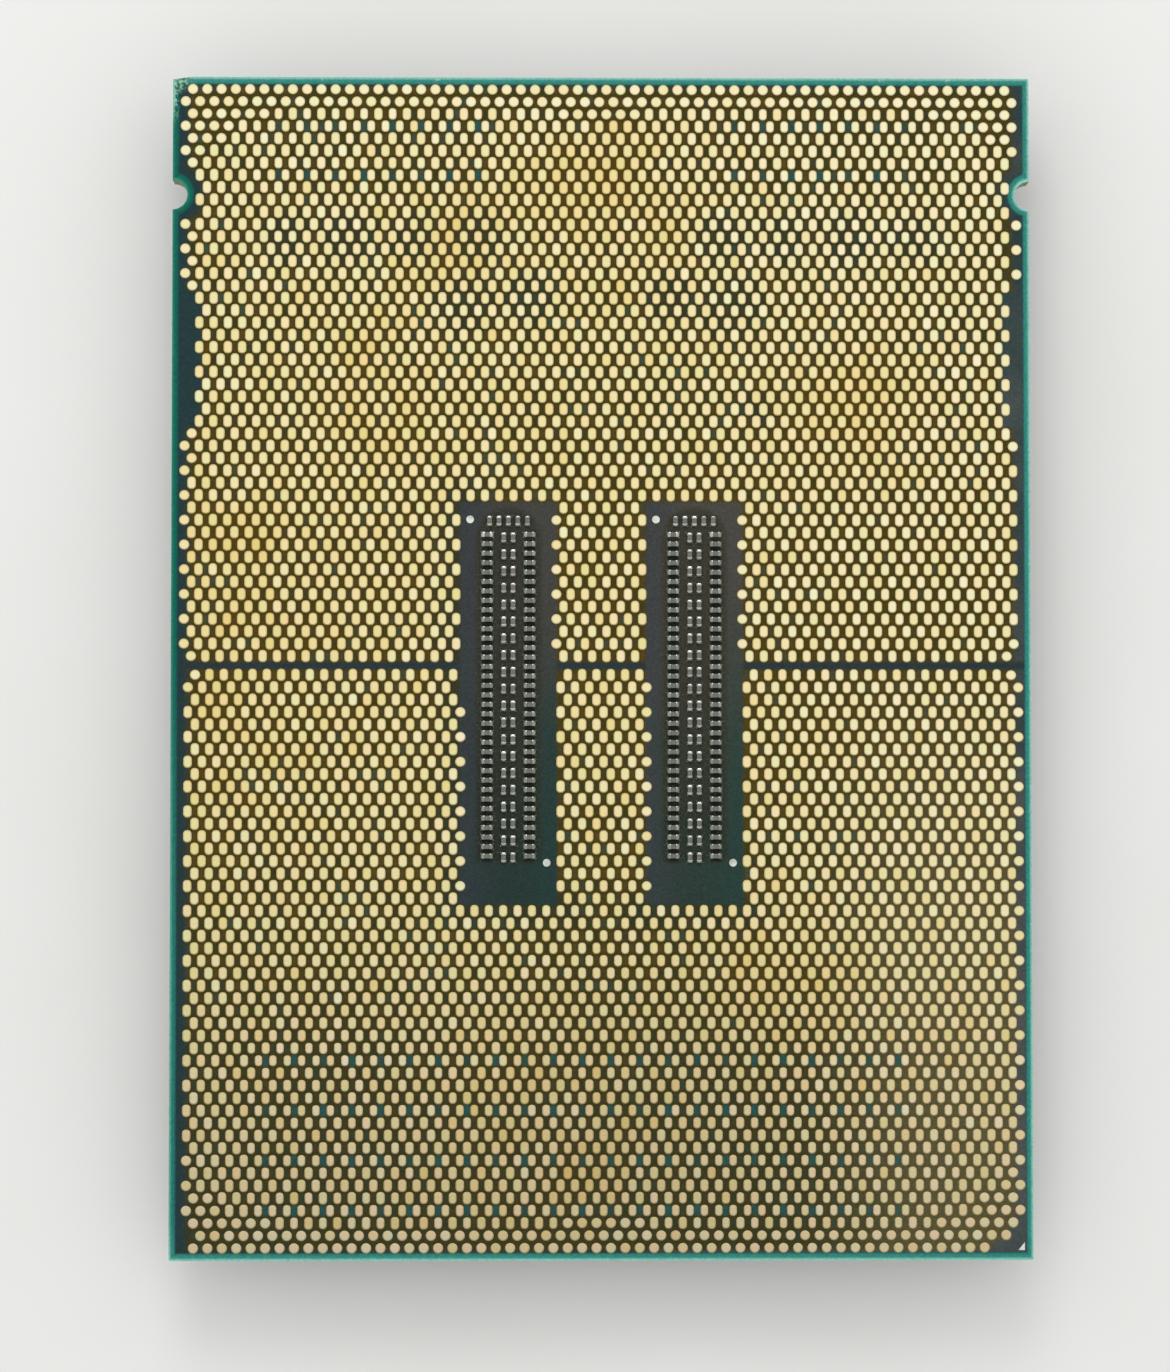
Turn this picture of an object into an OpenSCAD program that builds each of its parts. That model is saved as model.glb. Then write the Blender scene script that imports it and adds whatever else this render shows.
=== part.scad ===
// Server processor: a land grid array package that lies on its lid, contact side up.
// Lengths are in millimetres. X runs across the package, Y along it, Z up.

/* [Package] */
// Width of the package
package_width = 56.5; // [40:0.1:80]
// Length of the package
package_length = 77.75; // [50:0.05:110]
// Radius of the package corners
package_corner = 0.15; // [0.1:0.05:2]
// Radius of the two half-round key notches
notch_radius = 0.97; // [0.5:0.01:1.5]
// Distance of the notches from the short side nearest to them
notch_from_end = 7.825; // [3:0.025:15]
// Distance from a notch to the stretch of long side that has no lands beside it
bare_edge_gap = 6.45; // [4:0.05:10]
// Length of the stretch of long side that has no lands beside it
bare_edge_length = 8.9; // [2:0.1:12]
// Width of the strip along the long side that holds no lands there
bare_edge_width = 1.55; // [1:0.05:2]
// How far the worn corner reaches along the short side
worn_reach = 1.25; // [0.5:0.05:3]
// How much of the long side is worn away at that corner
worn_depth = 0.18; // [0.05:0.01:0.5]

/* [Substrate layers] */
// Thickness of the glass-fibre core
core_height = 1.27; // [0.4:0.01:2]
// Thickness of the build-up layers on each side of the core
buildup_height = 0.22; // [0.05:0.01:0.5]
// Thickness of the solder mask
mask_height = 0.02; // [0.01:0.005:0.05]

/* [Contact lands] */
// Distance between neighbouring lands of a row
land_pitch = 0.94; // [0.8:0.01:1.2]
// Least distance from the middle of a land to the edge of the package
land_margin = 0.6; // [0.5:0.05:1.5]
// Distance between the two rows that face each other across the middle line
bank_gap = 1.236; // [0.9:0.001:2]
// Sideways offset of each bank from the middle of the package
bank_shift = 0.14; // [0:0.01:0.3]
// Diameter of the round lands
round_land = 0.66; // [0.4:0.01:0.8]
// Width of the oblong lands
oblong_width = 0.58; // [0.4:0.01:0.7]
// Length of the oblong lands
oblong_length = 0.81; // [0.75:0.01:1]
// Width of the smaller lands in the signal rows
small_width = 0.53; // [0.3:0.01:0.6]
// Length of the smaller lands in the signal rows
small_length = 0.75; // [0.65:0.01:0.9]
// Height of the lands above the mask
land_height = 0.025; // [0.01:0.005:0.05]
// How far the bare key corner reaches along both sides
key_corner_reach = 3.1; // [2:0.1:5]
// Half the width of the signal rows at the mark end
signal_half_mark = 23.3; // [10:0.1:25]
// Where the signal rows at the notch end begin, from the middle outwards
signal_from_notch = 7.4; // [2:0.1:15]
// Where the signal rows at the notch end stop, from the middle outwards
signal_to_notch = 22.6; // [16:0.1:25]

/* [Capacitor windows] */
// Distance of a window's middle from the middle of the package, in land pitches
window_pitches = 6.5; // [4:0.5:12]
// Half the width of a window that holds no lands
window_half = 3.05; // [1:0.05:6]
// Number of rows that a window cuts from the bank at the notch end
window_rows_notch = 13; // [1:1:30]
// Number of rows that a window cuts from the bank at the mark end
window_rows_mark = 19; // [1:1:30]
// Length of a land-side capacitor
cap_length = 0.68; // [0.4:0.01:1]
// Width of a land-side capacitor over its ends
cap_width = 0.38; // [0.2:0.01:0.6]
// Height of a land-side capacitor
cap_height = 0.24; // [0.15:0.01:0.4]
// Length of one tinned end
cap_end = 0.17; // [0.1:0.01:0.25]
// How far a ceramic body stands back from its tinned ends
cap_step = 0.04; // [0.01:0.005:0.06]
// Distance from the first row of lands beyond a window to the end row of capacitors
end_row_gap = 1.69; // [1:0.01:3]
// Number of capacitors in each outer column
side_count = 35; // [5:1:40]
// Distance between neighbours in the outer columns
side_pitch = 0.621; // [0.5:0.001:1]
// Distance of the outer columns from the window's middle
side_offset = 1.39; // [1.2:0.01:2.4]
// Distance from the end row to the first capacitor of the outer columns
side_start = 0.89; // [0.7:0.01:2]
// Number of capacitors in each inner column
inner_count = 20; // [5:1:25]
// Distance between neighbours in the inner columns
inner_pitch = 1.105; // [0.8:0.005:1.5]
// Distance of the inner columns from the window's middle
inner_offset = 0.305; // [0.25:0.005:0.6]
// Distance from the end row to the first capacitor of the inner columns
inner_start = 1.1; // [0.8:0.01:2]
// Number of capacitors in the end row
end_count = 5; // [1:1:7]

/* [Marks] */
// Diameter of the fiducial dots
fiducial = 0.5; // [0.2:0.05:1]
// Distance of the fiducial dots from the window's middle
fiducial_offset = 2.52; // [2.2:0.01:2.75]
// How far the first dot of a window lies beyond the end row
fiducial_rise = 0.11; // [-0.5:0.01:1]
// Distance along the package between the two dots of a window
fiducial_span = 22.55; // [10:0.05:24]
// Distance of the corner mark from the long side
mark_from_side = 0.57; // [0.3:0.01:1]
// Distance of the corner mark from the short side
mark_from_end = 0.645; // [0.3:0.005:1]
// Width of the corner mark
mark_width = 0.42; // [0.2:0.01:0.8]
// Length of the corner mark
mark_length = 0.52; // [0.2:0.01:0.8]

/* [Lid] */
// Width of the raised face of the lid
face_width = 46.5; // [30:0.5:50]
// Length of the raised face of the lid
face_length = 61; // [40:0.5:66]
// Height of the raised face above the flange
face_height = 2.4; // [1:0.1:4]
// Width of the flange
flange_width = 51; // [40:0.5:55]
// Length of the flange
flange_length = 70.5; // [50:0.5:76]
// Thickness of the flange down to the sealant
flange_height = 1.7; // [1:0.1:3]
// Corner radius of the face
face_corner = 2; // [0.5:0.25:5]
// Corner radius of the flange
flange_corner = 2.5; // [0.5:0.25:5]
// Width of the cavity under the lid
cavity_width = 40; // [30:0.5:45]
// Length of the cavity under the lid
cavity_length = 58; // [35:0.5:62]
// Depth of the cavity under the lid
cavity_depth = 0.75; // [0.5:0.05:1.2]
// Thickness of the sealant bead
sealant_height = 0.1; // [0.05:0.01:0.3]
// Width of the sealant bead
sealant_width = 3.2; // [1:0.1:5]
// Distance from the edge of the cavity to the sealant bead
sealant_gap = 1; // [0.2:0.1:2]
// Length of the vent gap in the sealant bead
vent_gap = 6; // [1:0.5:15]

/* [Die] */
// Width of the die
die_width = 26; // [10:0.5:36]
// Length of the die
die_length = 30; // [10:0.5:50]
// Position of the die's middle along the package
die_y = -2.5; // [-8:0.5:8]
// Thickness of the layer of bumps and underfill
underfill_height = 0.08; // [0.04:0.01:0.15]
// How far the underfill runs out beyond the die
underfill_rim = 0.9; // [0.2:0.1:2]
// Thickness of the thermal interface layer
interface_height = 0.07; // [0.02:0.01:0.2]
// Length of a capacitor beside the die
die_cap_length = 1; // [0.6:0.1:2]
// Number of capacitors on each long side of the die
die_cap_count = 11; // [2:1:14]
// Distance between neighbours of that column
die_cap_pitch = 2.4; // [1:0.1:4]
// Distance of that column from the side of the die
die_cap_gap = 3.5; // [1.5:0.1:5]

/* [Hidden] */
$fn = 48;
row_pitch = land_pitch * sqrt(3) / 2;
notch_from_middle = package_length / 2 - notch_from_end;
bare_edge_end = notch_from_middle - bare_edge_gap;
bare_edge_start = bare_edge_end - bare_edge_length;
bank_rows = floor((package_length / 2 - land_margin - bank_gap / 2) / row_pitch) + 1;
half_columns = floor((package_width / 2 - land_margin - bank_shift) / land_pitch);
window_offset = window_pitches * land_pitch;
end_row_y = row_y(window_rows_notch) - end_row_gap;
lid_top = face_height + flange_height;
board_z = lid_top + sealant_height;
core_z = board_z + mask_height + buildup_height;
buildup_z = core_z + core_height;
mask_z = buildup_z + buildup_height;
land_z = mask_z + mask_height;
die_z = board_z - underfill_height;
cavity_z = lid_top - cavity_depth;
interface_z = cavity_z + interface_height;
mark_bank = -1;
notch_bank = 1;
// The rows of a bank are shared out to this many pieces
bands = 4;
// How far the round lands reach in from the long side, in the eighth to the third row from the short side
corner_reach = [1.25, 1.45, 1.95, 3.35, 3.8, 6.65];
corner_rows = len(corner_reach);
// Rows at the short side that hold round lands only
round_rows = 2;
// Half the width of the round lands in the middle of the next row
middle_round = 2.5;
// A land this near a long side is round in every row
side_round = 1;
// A land this near a long side is round in the first rows beside the middle line
first_rows = 2;
first_rows_round = 1.7;
// A land this near a long side is left out of the last row but one at the mark end
short_row = 1.2;
// Rows before the bare stretch of long side whose end lands are round
bare_edge_lead = 2.4;
// Round lands stand along one edge of a window, up to this distance from its edge
window_edge = 0.45;
// The signal rows repeat in fours, from the third row to these rows from the short side
signal_first = 3;
signal_last_notch = 9;
signal_last_mark = 17;
// Clusters of smaller lands before the signal rows: distance from the middle, row from the short side, radius
cluster_step = 4.2;
cluster_row = [for (i = [0 : 3]) [8 + cluster_step * i, 13, 1.15]];
cluster_pair = [[4.6, 18, 1.4], [8.7, 18.5, 1.4]];
clusters = concat(cluster_row, cluster_pair);
// How far a cutting shape runs past what it cuts
cut_over = 1;

// Lattice: both banks use the same rules, the bank at the mark end is turned by half a turn.
function columns(n) = 2 * half_columns + n % 2;
function lattice_x(n, k) = (k - (columns(n) - 1) / 2) * land_pitch;
function row_y(n) = bank_gap / 2 + n * row_pitch;
function from_end(n) = bank_rows - n;
function side_distance(x) = package_width / 2 - abs(x - bank_shift);
function end_distance(n) = package_length / 2 - row_y(n);
function window_rows(side) = side == notch_bank ? window_rows_notch : window_rows_mark;
function between(a, low, high) = a >= low && a <= high;

// Sites without a land: the windows, the bare stretch of long side, beside the notches, two corners,
// and the first site beside one window at the mark end
function in_window(side, n, x) = n < window_rows(side) && abs(abs(x) - window_offset) < window_half;
function bare_row(n) = between(row_y(n), bare_edge_start, bare_edge_end)
    || abs(row_y(n) - notch_from_middle) < notch_radius + land_margin;
function bare_edge(side, n, x) = side == notch_bank && bare_row(n) && side_distance(x) < bare_edge_width;
function key_corner(side, n, x) = side == mark_bank
    && ((x < 0 && side_distance(x) + end_distance(n) < key_corner_reach)
    || (from_end(n) == round_rows && side_distance(x) < short_row));
function left_out(side, n, x) = side == mark_bank && n < first_rows
    && between(x - window_offset, window_half, window_half + window_edge);
function empty(side, n, x) = in_window(side, n, x) || bare_edge(side, n, x) || key_corner(side, n, x)
    || left_out(side, n, x);

// Lands that are round: the outer rows, the corners, the outermost column, window edges
function at_corner(n, x) = between(from_end(n), round_rows + 1, round_rows + corner_rows)
    && side_distance(x) < corner_reach[round_rows + corner_rows - from_end(n)];
function at_window(side, n, x) = n < window_rows(side)
    && (between(x - window_offset, window_half, window_half + window_edge)
    || between(x + window_offset, window_half, window_half + window_edge));
function beside_bare_edge(side, n, x) = side == notch_bank
    && between(row_y(n), bare_edge_start - bare_edge_lead, notch_from_middle)
    && side_distance(x) < bare_edge_width;
function is_round(side, n, x) = from_end(n) <= round_rows
    || at_corner(n, x)
    || (from_end(n) == round_rows + 1 && abs(x) < middle_round)
    || side_distance(x) < side_round
    || (n < first_rows && side_distance(x) < first_rows_round)
    || at_window(side, n, x)
    || beside_bare_edge(side, n, x);

// Smaller lands: signal rows in groups of four, and small clusters before them
function signal_zone(side, n, x) = side == mark_bank
    ? between(from_end(n), signal_first, signal_last_mark) && abs(x) < signal_half_mark
    : between(from_end(n), signal_first, signal_last_notch)
        && between(abs(x), signal_from_notch, signal_to_notch);
function signal_row(n, k) = let (turn = from_end(n) % 4)
    turn == 0 || (turn == 3 && k % 2 == 0) || (turn == 1 && k % 2 == 1);
function in_cluster(side, n, x) = side == notch_bank
    && len([for (c = clusters) if (norm([abs(x) - c[0], (from_end(n) - c[1]) * row_pitch]) < c[2]) c]) > 0;
function is_small(side, n, k, x) = (signal_zone(side, n, x) && signal_row(n, k)) || in_cluster(side, n, x);

function land_kind(side, n, k) = let (x = lattice_x(n, k))
    empty(side, n, x) ? "none"
    : is_round(side, n, x) ? "round"
    : is_small(side, n, k, x) ? "small"
    : "oblong";

// Between the bare stretch and the notches, the end lands lie equally far from both long sides
function set_out(side, n, x) = x > 0 && side == notch_bank
    && between(row_y(n), bare_edge_end, notch_from_middle) && side_distance(x) < bare_edge_width;
function land_x(side, n, x) = set_out(side, n, x) ? x + bank_shift : x - bank_shift;

module bank_sites(side, first, last, kind) {
    for (n = [first : last], k = [0 : columns(n) - 1])
        if (land_kind(side, n, k) == kind)
            translate([side * land_x(side, n, lattice_x(n, k)), side * row_y(n), 0])
                children();
}

// A slanted rod cut by a thin slab gives an oblong land
module oblong_lands(side, first, last, kind, width, length) {
    tilt = acos(width / length);
    intersection() {
        bank_sites(side, first, last, kind)
            translate([0, 0, land_z + land_height / 2])
                rotate([tilt, 0, 0])
                    cylinder(d = width, h = length + 2 * land_height, center = true);
        translate([0, side * package_length / 4, land_z + land_height / 2])
            cube([package_width, package_length / 2, land_height], center = true);
    }
}

module round_lands(side) color("gold")
    bank_sites(side, 0, bank_rows - 1, "round")
        translate([0, 0, land_z])
            cylinder(d = round_land, h = land_height);

module small_lands(side) color("gold")
    oblong_lands(side, 0, bank_rows - 1, "small", small_width, small_length);

function band_row(band) = round(band * bank_rows / bands);
module row_lands(side, band) color("gold")
    oblong_lands(side, band_row(band - 1), band_row(band) - 1, "oblong", oblong_width, oblong_length);

module rounded_rectangle(width, length, r) {
    square([width - 2 * r, length], center = true);
    square([width, length - 2 * r], center = true);
    for (x = [-1, 1], y = [-1, 1])
        translate([x * (width / 2 - r), y * (length / 2 - r)])
            circle(r);
}

module package_outline() {
    difference() {
        rounded_rectangle(package_width, package_length, package_corner);
        for (x = [-1, 1])
            translate([x * package_width / 2, notch_from_middle])
                circle(notch_radius);
        translate([-package_width / 2, package_length / 2])
            polygon([[0, 0], [worn_reach, 0], [0, -worn_depth]]);
    }
}

module layer(z, height) translate([0, 0, z])
    linear_extrude(height)
        package_outline();

module substrate_core() color("olivedrab") layer(core_z, core_height);
module buildup_die_side() color("darkolivegreen") layer(board_z + mask_height, buildup_height);
module buildup_land_side() color("darkolivegreen") layer(buildup_z, buildup_height);
module mask_die_side() color("seagreen") layer(board_z, mask_height);
module mask_land_side() color("darkslategray") layer(mask_z, mask_height);

module lands_notch_round() round_lands(notch_bank);
module lands_notch_small() small_lands(notch_bank);
module lands_notch_rows_1() row_lands(notch_bank, 1);
module lands_notch_rows_2() row_lands(notch_bank, 2);
module lands_notch_rows_3() row_lands(notch_bank, 3);
module lands_notch_rows_4() row_lands(notch_bank, 4);
module lands_mark_round() round_lands(mark_bank);
module lands_mark_small() small_lands(mark_bank);
module lands_mark_rows_1() row_lands(mark_bank, 1);
module lands_mark_rows_2() row_lands(mark_bank, 2);
module lands_mark_rows_3() row_lands(mark_bank, 3);
module lands_mark_rows_4() row_lands(mark_bank, 4);

// Land-side capacitors stand in four columns with a row across the notch end
module window_sites(side) {
    translate([side * window_offset, end_row_y, land_z]) {
        for (i = [0 : end_count - 1])
            translate([(i - (end_count - 1) / 2) * side_pitch, 0, 0])
                rotate(90)
                    children();
        for (x = [-side_offset, side_offset], i = [0 : side_count - 1])
            translate([x, -side_start - i * side_pitch, 0])
                children();
        for (x = [-inner_offset, inner_offset], i = [0 : inner_count - 1])
            translate([x, -inner_start - i * inner_pitch, 0])
                rotate(90)
                    children();
    }
}

module cap_body(length, width, height, end)
    translate([-length / 2 + end, -width / 2 + cap_step, cap_step])
        cube([length - 2 * end, width - 2 * cap_step, height - 2 * cap_step]);

module cap_ends(length, width, height, end)
    for (x = [-length / 2, length / 2 - end])
        translate([x, -width / 2, 0])
            cube([end, width, height]);

module window_bodies(side) color("dimgray") window_sites(side)
    cap_body(cap_length, cap_width, cap_height, cap_end);
module window_ends(side) color("silver") window_sites(side)
    cap_ends(cap_length, cap_width, cap_height, cap_end);

module left_capacitor_bodies() window_bodies(-1);
module left_capacitor_ends() window_ends(-1);
module right_capacitor_bodies() window_bodies(1);
module right_capacitor_ends() window_ends(1);

module fiducials() color("silver")
    for (side = [-1, 1], i = [0, 1])
        translate([side * window_offset + (2 * i - 1) * fiducial_offset,
            end_row_y + fiducial_rise - i * fiducial_span, land_z])
            cylinder(d = fiducial, h = mask_height);

module corner_mark() color("palegoldenrod")
    translate([package_width / 2 - mark_from_side, -package_length / 2 + mark_from_end, land_z])
        linear_extrude(mask_height)
            polygon([[0, 0], [0, mark_length], [-mark_width, 0]]);

module lid() color("lightsteelblue")
    difference() {
        union() {
            linear_extrude(face_height)
                rounded_rectangle(face_width, face_length, face_corner);
            translate([0, 0, face_height])
                linear_extrude(flange_height)
                    rounded_rectangle(flange_width, flange_length, flange_corner);
        }
        translate([0, 0, cavity_z])
            linear_extrude(cavity_depth + cut_over)
                rounded_rectangle(cavity_width, cavity_length, face_corner);
    }

module sealant_edge(reach)
    rounded_rectangle(cavity_width + 2 * reach, cavity_length + 2 * reach, face_corner + reach);

module lid_sealant() color("black")
    translate([0, 0, lid_top])
        linear_extrude(sealant_height)
            difference() {
                sealant_edge(sealant_gap + sealant_width);
                sealant_edge(sealant_gap);
                translate([0, -cavity_length / 2 - sealant_gap - sealant_width / 2])
                    square([vent_gap, sealant_width + cut_over], center = true);
            }

module die() color("gray")
    translate([-die_width / 2, die_y - die_length / 2, interface_z])
        cube([die_width, die_length, die_z - interface_z]);

module thermal_interface() color("lightgray")
    translate([0, die_y, cavity_z])
        linear_extrude(interface_height)
            square([die_width, die_length], center = true);

module underfill() color("darkslategray")
    translate([0, die_y, die_z])
        linear_extrude(underfill_height)
            rounded_rectangle(die_width + 2 * underfill_rim, die_length + 2 * underfill_rim, underfill_rim);

// Capacitors under the lid stand in one column along each long side of the die
module die_cap_sites()
    for (x = [-1, 1], i = [0 : die_cap_count - 1])
        translate([x * (die_width / 2 + die_cap_gap), die_y + (i - (die_cap_count - 1) / 2) * die_cap_pitch,
            board_z])
            mirror([0, 0, 1])
                children();

module die_capacitor_bodies() color("dimgray") die_cap_sites()
    cap_body(die_cap_length, die_cap_length / 2, die_cap_length / 2, die_cap_length / 4);
module die_capacitor_ends() color("silver") die_cap_sites()
    cap_ends(die_cap_length, die_cap_length / 2, die_cap_length / 2, die_cap_length / 4);

substrate_core();
buildup_die_side();
buildup_land_side();
mask_die_side();
mask_land_side();
lands_notch_round();
lands_notch_small();
lands_notch_rows_1();
lands_notch_rows_2();
lands_notch_rows_3();
lands_notch_rows_4();
lands_mark_round();
lands_mark_small();
lands_mark_rows_1();
lands_mark_rows_2();
lands_mark_rows_3();
lands_mark_rows_4();
left_capacitor_bodies();
left_capacitor_ends();
right_capacitor_bodies();
right_capacitor_ends();
fiducials();
corner_mark();
lid();
lid_sealant();
die();
thermal_interface();
underfill();
die_capacitor_bodies();
die_capacitor_ends();
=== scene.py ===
# %% [markdown]
# # A server processor, contact side up
# The object is a laminated board with about five thousand gold lands on one side and a metal lid on the
# other. The packed model already holds every piece at its size and place, so this lesson only dresses it.
# Small shapes whose edges catch light are modelled again in edit mode, and every surface gets a node
# material.

# %% Load the packed model as the fixed frame
import math
import random

import bmesh
import bpy
import numpy as np
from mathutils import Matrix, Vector


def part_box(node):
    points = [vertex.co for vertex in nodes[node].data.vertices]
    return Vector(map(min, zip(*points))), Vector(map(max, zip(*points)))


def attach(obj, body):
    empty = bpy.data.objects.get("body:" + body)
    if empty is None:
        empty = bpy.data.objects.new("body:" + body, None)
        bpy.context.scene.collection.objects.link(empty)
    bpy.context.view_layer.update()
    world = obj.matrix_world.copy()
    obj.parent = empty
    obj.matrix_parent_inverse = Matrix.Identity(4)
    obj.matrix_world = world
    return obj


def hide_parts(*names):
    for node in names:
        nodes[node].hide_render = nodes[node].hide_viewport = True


MM = 0.001

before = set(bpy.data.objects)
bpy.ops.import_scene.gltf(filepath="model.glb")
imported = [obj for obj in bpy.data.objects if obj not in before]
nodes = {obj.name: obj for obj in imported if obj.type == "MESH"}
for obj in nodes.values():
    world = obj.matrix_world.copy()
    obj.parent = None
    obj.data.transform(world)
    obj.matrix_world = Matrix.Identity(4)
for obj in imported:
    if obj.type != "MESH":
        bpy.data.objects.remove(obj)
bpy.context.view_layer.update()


# %% [markdown]
# ## Camera
# The photograph looks almost straight down from about 27 cm, a little below the middle of the board. A
# camera could be placed by eye, but a lattice of lands is a ready-made ruler: the place and the turn
# written here are those that bring the lands of the model and of the photograph together.

# %% Place the camera
PICTURE_LONG_SIDE = 1372  # pixels
FOCAL_LENGTH = 4005  # in pixels of that picture
CAMERA_PLACE = (-4.51, -11.76, 268.66)  # mm
CAMERA_TURN = (2.272, -0.748, -0.004)  # degrees
CAMERA_NEAR = 10  # mm

lens = bpy.data.cameras.new("camera")
lens.lens = lens.sensor_width * FOCAL_LENGTH / PICTURE_LONG_SIDE
lens.clip_start = CAMERA_NEAR * MM
camera = bpy.data.objects.new("camera", lens)
bpy.context.scene.collection.objects.link(camera)
camera.location = [v * MM for v in CAMERA_PLACE]
camera.rotation_euler = [math.radians(a) for a in CAMERA_TURN]
bpy.context.scene.camera = camera
print("lens in mm:", round(lens.lens, 2))

# %% [markdown]
# ## Node helpers
# A node tree can be wired by hand, one socket at a time, but that soon hides the idea behind the wires. The
# small class below writes a tree as sums: a value may be a plain number or the output of another node.
# Colours are written as they look on a screen, 0 to 255, and turned into the linear values that shaders
# take.

# %% A short way to write node trees
def tone(red, green, blue):
    """A screen colour as the linear colour of a socket, by the standard curve of screens."""
    shares = (v / 255 for v in (red, green, blue))
    return (*(v / 12.92 if v <= 0.04045 else ((v + 0.055) / 1.055) ** 2.4 for v in shares), 1)


class Graph:
    """Adds nodes to one tree and links them."""

    def __init__(self, tree):
        self.tree = tree

    def node(self, kind, **settings):
        made = self.tree.nodes.new("ShaderNode" + kind)
        for name, value in settings.items():
            setattr(made, name, value)
        return made

    def feed(self, socket, value):
        if isinstance(value, bpy.types.NodeSocket):
            self.tree.links.new(value, socket)
        else:
            socket.default_value = value

    def calc(self, operation, *values):
        made = self.node("Math", operation=operation)
        for socket, value in zip(made.inputs, values):
            self.feed(socket, value)
        return made.outputs[0]

    def chain(self, operation, result, *others):
        """One operation, applied to all values in turn."""
        for value in others:
            result = self.calc(operation, result, value)
        return result

    def product(self, *values):
        return self.chain("MULTIPLY", *values)

    def largest(self, *values):
        return self.chain("MAXIMUM", *values)

    def smallest(self, *values):
        return self.chain("MINIMUM", *values)

    def minus(self, first, second):
        return self.calc("SUBTRACT", first, second)

    def scaled(self, value, gain, start):
        """The value times the gain, on top of the start."""
        return self.calc("MULTIPLY_ADD", value, gain, start)

    def size_of(self, value):
        """The value without its sign."""
        return self.calc("ABSOLUTE", value)

    def diagonal(self, across, along):
        """How far a point is away that lies so far across and so far along."""
        return self.calc("SQRT", self.calc("ADD", self.product(across, across), self.product(along, along)))

    def rise(self, value, low, high):
        """0 where the value is at low, 1 where it is at high, smooth between them."""
        made = self.node("MapRange", interpolation_type="SMOOTHSTEP")
        for name, part in (("Value", value), ("From Min", low), ("From Max", high)):
            self.feed(made.inputs[name], part)
        return made.outputs["Result"]

    def over(self, value, limit, soft):
        """1 where the value is over a limit, with a soft edge."""
        return self.rise(value, limit - soft, limit + soft)

    def under(self, value, limit, soft):
        """1 where the value is under a limit, with a soft edge."""
        return self.rise(value, limit + soft, limit - soft)

    def within(self, value, low, high, soft):
        """1 where the value lies between two limits, with soft ends."""
        return self.product(self.over(value, low, soft), self.under(value, high, soft))

    def mix(self, share, first, second, blend="MIX"):
        made = self.node("Mix", data_type="RGBA", blend_type=blend)
        for name, value in (("Factor_Float", share), ("A_Color", first), ("B_Color", second)):
            self.feed(next(s for s in made.inputs if s.identifier == name), value)
        return next(s for s in made.outputs if s.identifier == "Result_Color")

    def tinted(self, share, colour, factors):
        """The colour multiplied by factors, as far as the share says."""
        return self.mix(share, colour, factors, "MULTIPLY")

    def ramp(self, value, stops):
        """A colour that runs through stops, given as (place, colour)."""
        made = self.node("ValToRGB")
        while len(made.color_ramp.elements) < len(stops):
            made.color_ramp.elements.new(1)
        for element, (place, colour) in zip(made.color_ramp.elements, stops):
            element.position = place
            element.color = colour
        self.feed(made.inputs["Fac"], value)
        return made.outputs["Color"]

    def place(self):
        """Where a point lies on the piece, in mm."""
        made = self.node("VectorMath", operation="SCALE")
        self.feed(made.inputs[0], self.node("TexCoord").outputs["Object"])
        made.inputs["Scale"].default_value = 1 / MM
        return made.outputs[0]

    def distance(self, place, other):
        """How far a point lies from another, in mm."""
        made = self.node("VectorMath", operation="DISTANCE")
        self.feed(made.inputs[0], place)
        made.inputs[1].default_value = other
        return made.outputs["Value"]

    def noise(self, place, size, detail=2.0):
        """Cloudy noise with patches of about the given size in mm, from 0 to 1."""
        made = self.node("TexNoise")
        self.feed(made.inputs["Vector"], place)
        self.feed(made.inputs["Scale"], self.calc("DIVIDE", 1.0, size))
        made.inputs["Detail"].default_value = detail
        return made.outputs["Fac"]

    def group(self, tree, **values):
        made = self.node("Group", node_tree=tree)
        for name, value in values.items():
            self.feed(made.inputs[name.replace("_", " ")], value)
        return made.outputs

    def bump(self, height, strength, depth):
        """A normal from a height map; the depth is in mm."""
        made = self.node("Bump")
        made.inputs["Strength"].default_value = strength
        made.inputs["Distance"].default_value = depth * MM
        self.feed(made.inputs["Height"], height)
        return made.outputs["Normal"]


print("helpers:", [name for name in vars(Graph) if not name.startswith("_")])

# %% [markdown]
# ## Floor and light
# The photograph was taken under a wide, soft ceiling panel, so the world itself gives most of the light
# here: it is white all round. Gold mirrors the ceiling, and the lands grow dimmer towards the plain end,
# which means that the panel ends about there, along an edge that runs a little askew. A dark card over the
# scene would do the same, but it would show in other views, so the world is simply dimmer straight above on
# that side. One soft lamp beyond the notched end adds the short shadows beside the capacitors.

# %% Studio: world and lamp
PANEL_LIGHT, DIM_LIGHT = 1.0, 0.512
PANEL_EDGE = (-0.025, -0.085)  # Y part of a direction, from bright to dim
PANEL_LEAN = 0.08  # how much of the X part counts with it
CEILING_RIM = (0.6, 0.85)  # Z part of a direction, from the walls to the ceiling
LAMP_PLACE = (-40, 300, 270)  # mm
LAMP_SIZE = 180  # mm
LAMP_WATTS = 0.36

scene = bpy.context.scene
scene.view_settings.view_transform = "Standard"
scene.world = bpy.data.worlds.new("studio")
scene.world.use_nodes = True
sky = Graph(scene.world.node_tree)
way = sky.node("SeparateXYZ")
sky.feed(way.inputs[0], sky.node("TexCoord").outputs["Generated"])
askew = sky.scaled(way.outputs["X"], PANEL_LEAN, way.outputs["Y"])
dimmed = sky.product(sky.rise(askew, *PANEL_EDGE), sky.rise(way.outputs["Z"], *CEILING_RIM))
dome = scene.world.node_tree.nodes["Background"]
dome.inputs["Color"].default_value = (1, 1, 1, 1)
sky.feed(dome.inputs["Strength"], sky.scaled(dimmed, DIM_LIGHT - PANEL_LIGHT, PANEL_LIGHT))

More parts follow.
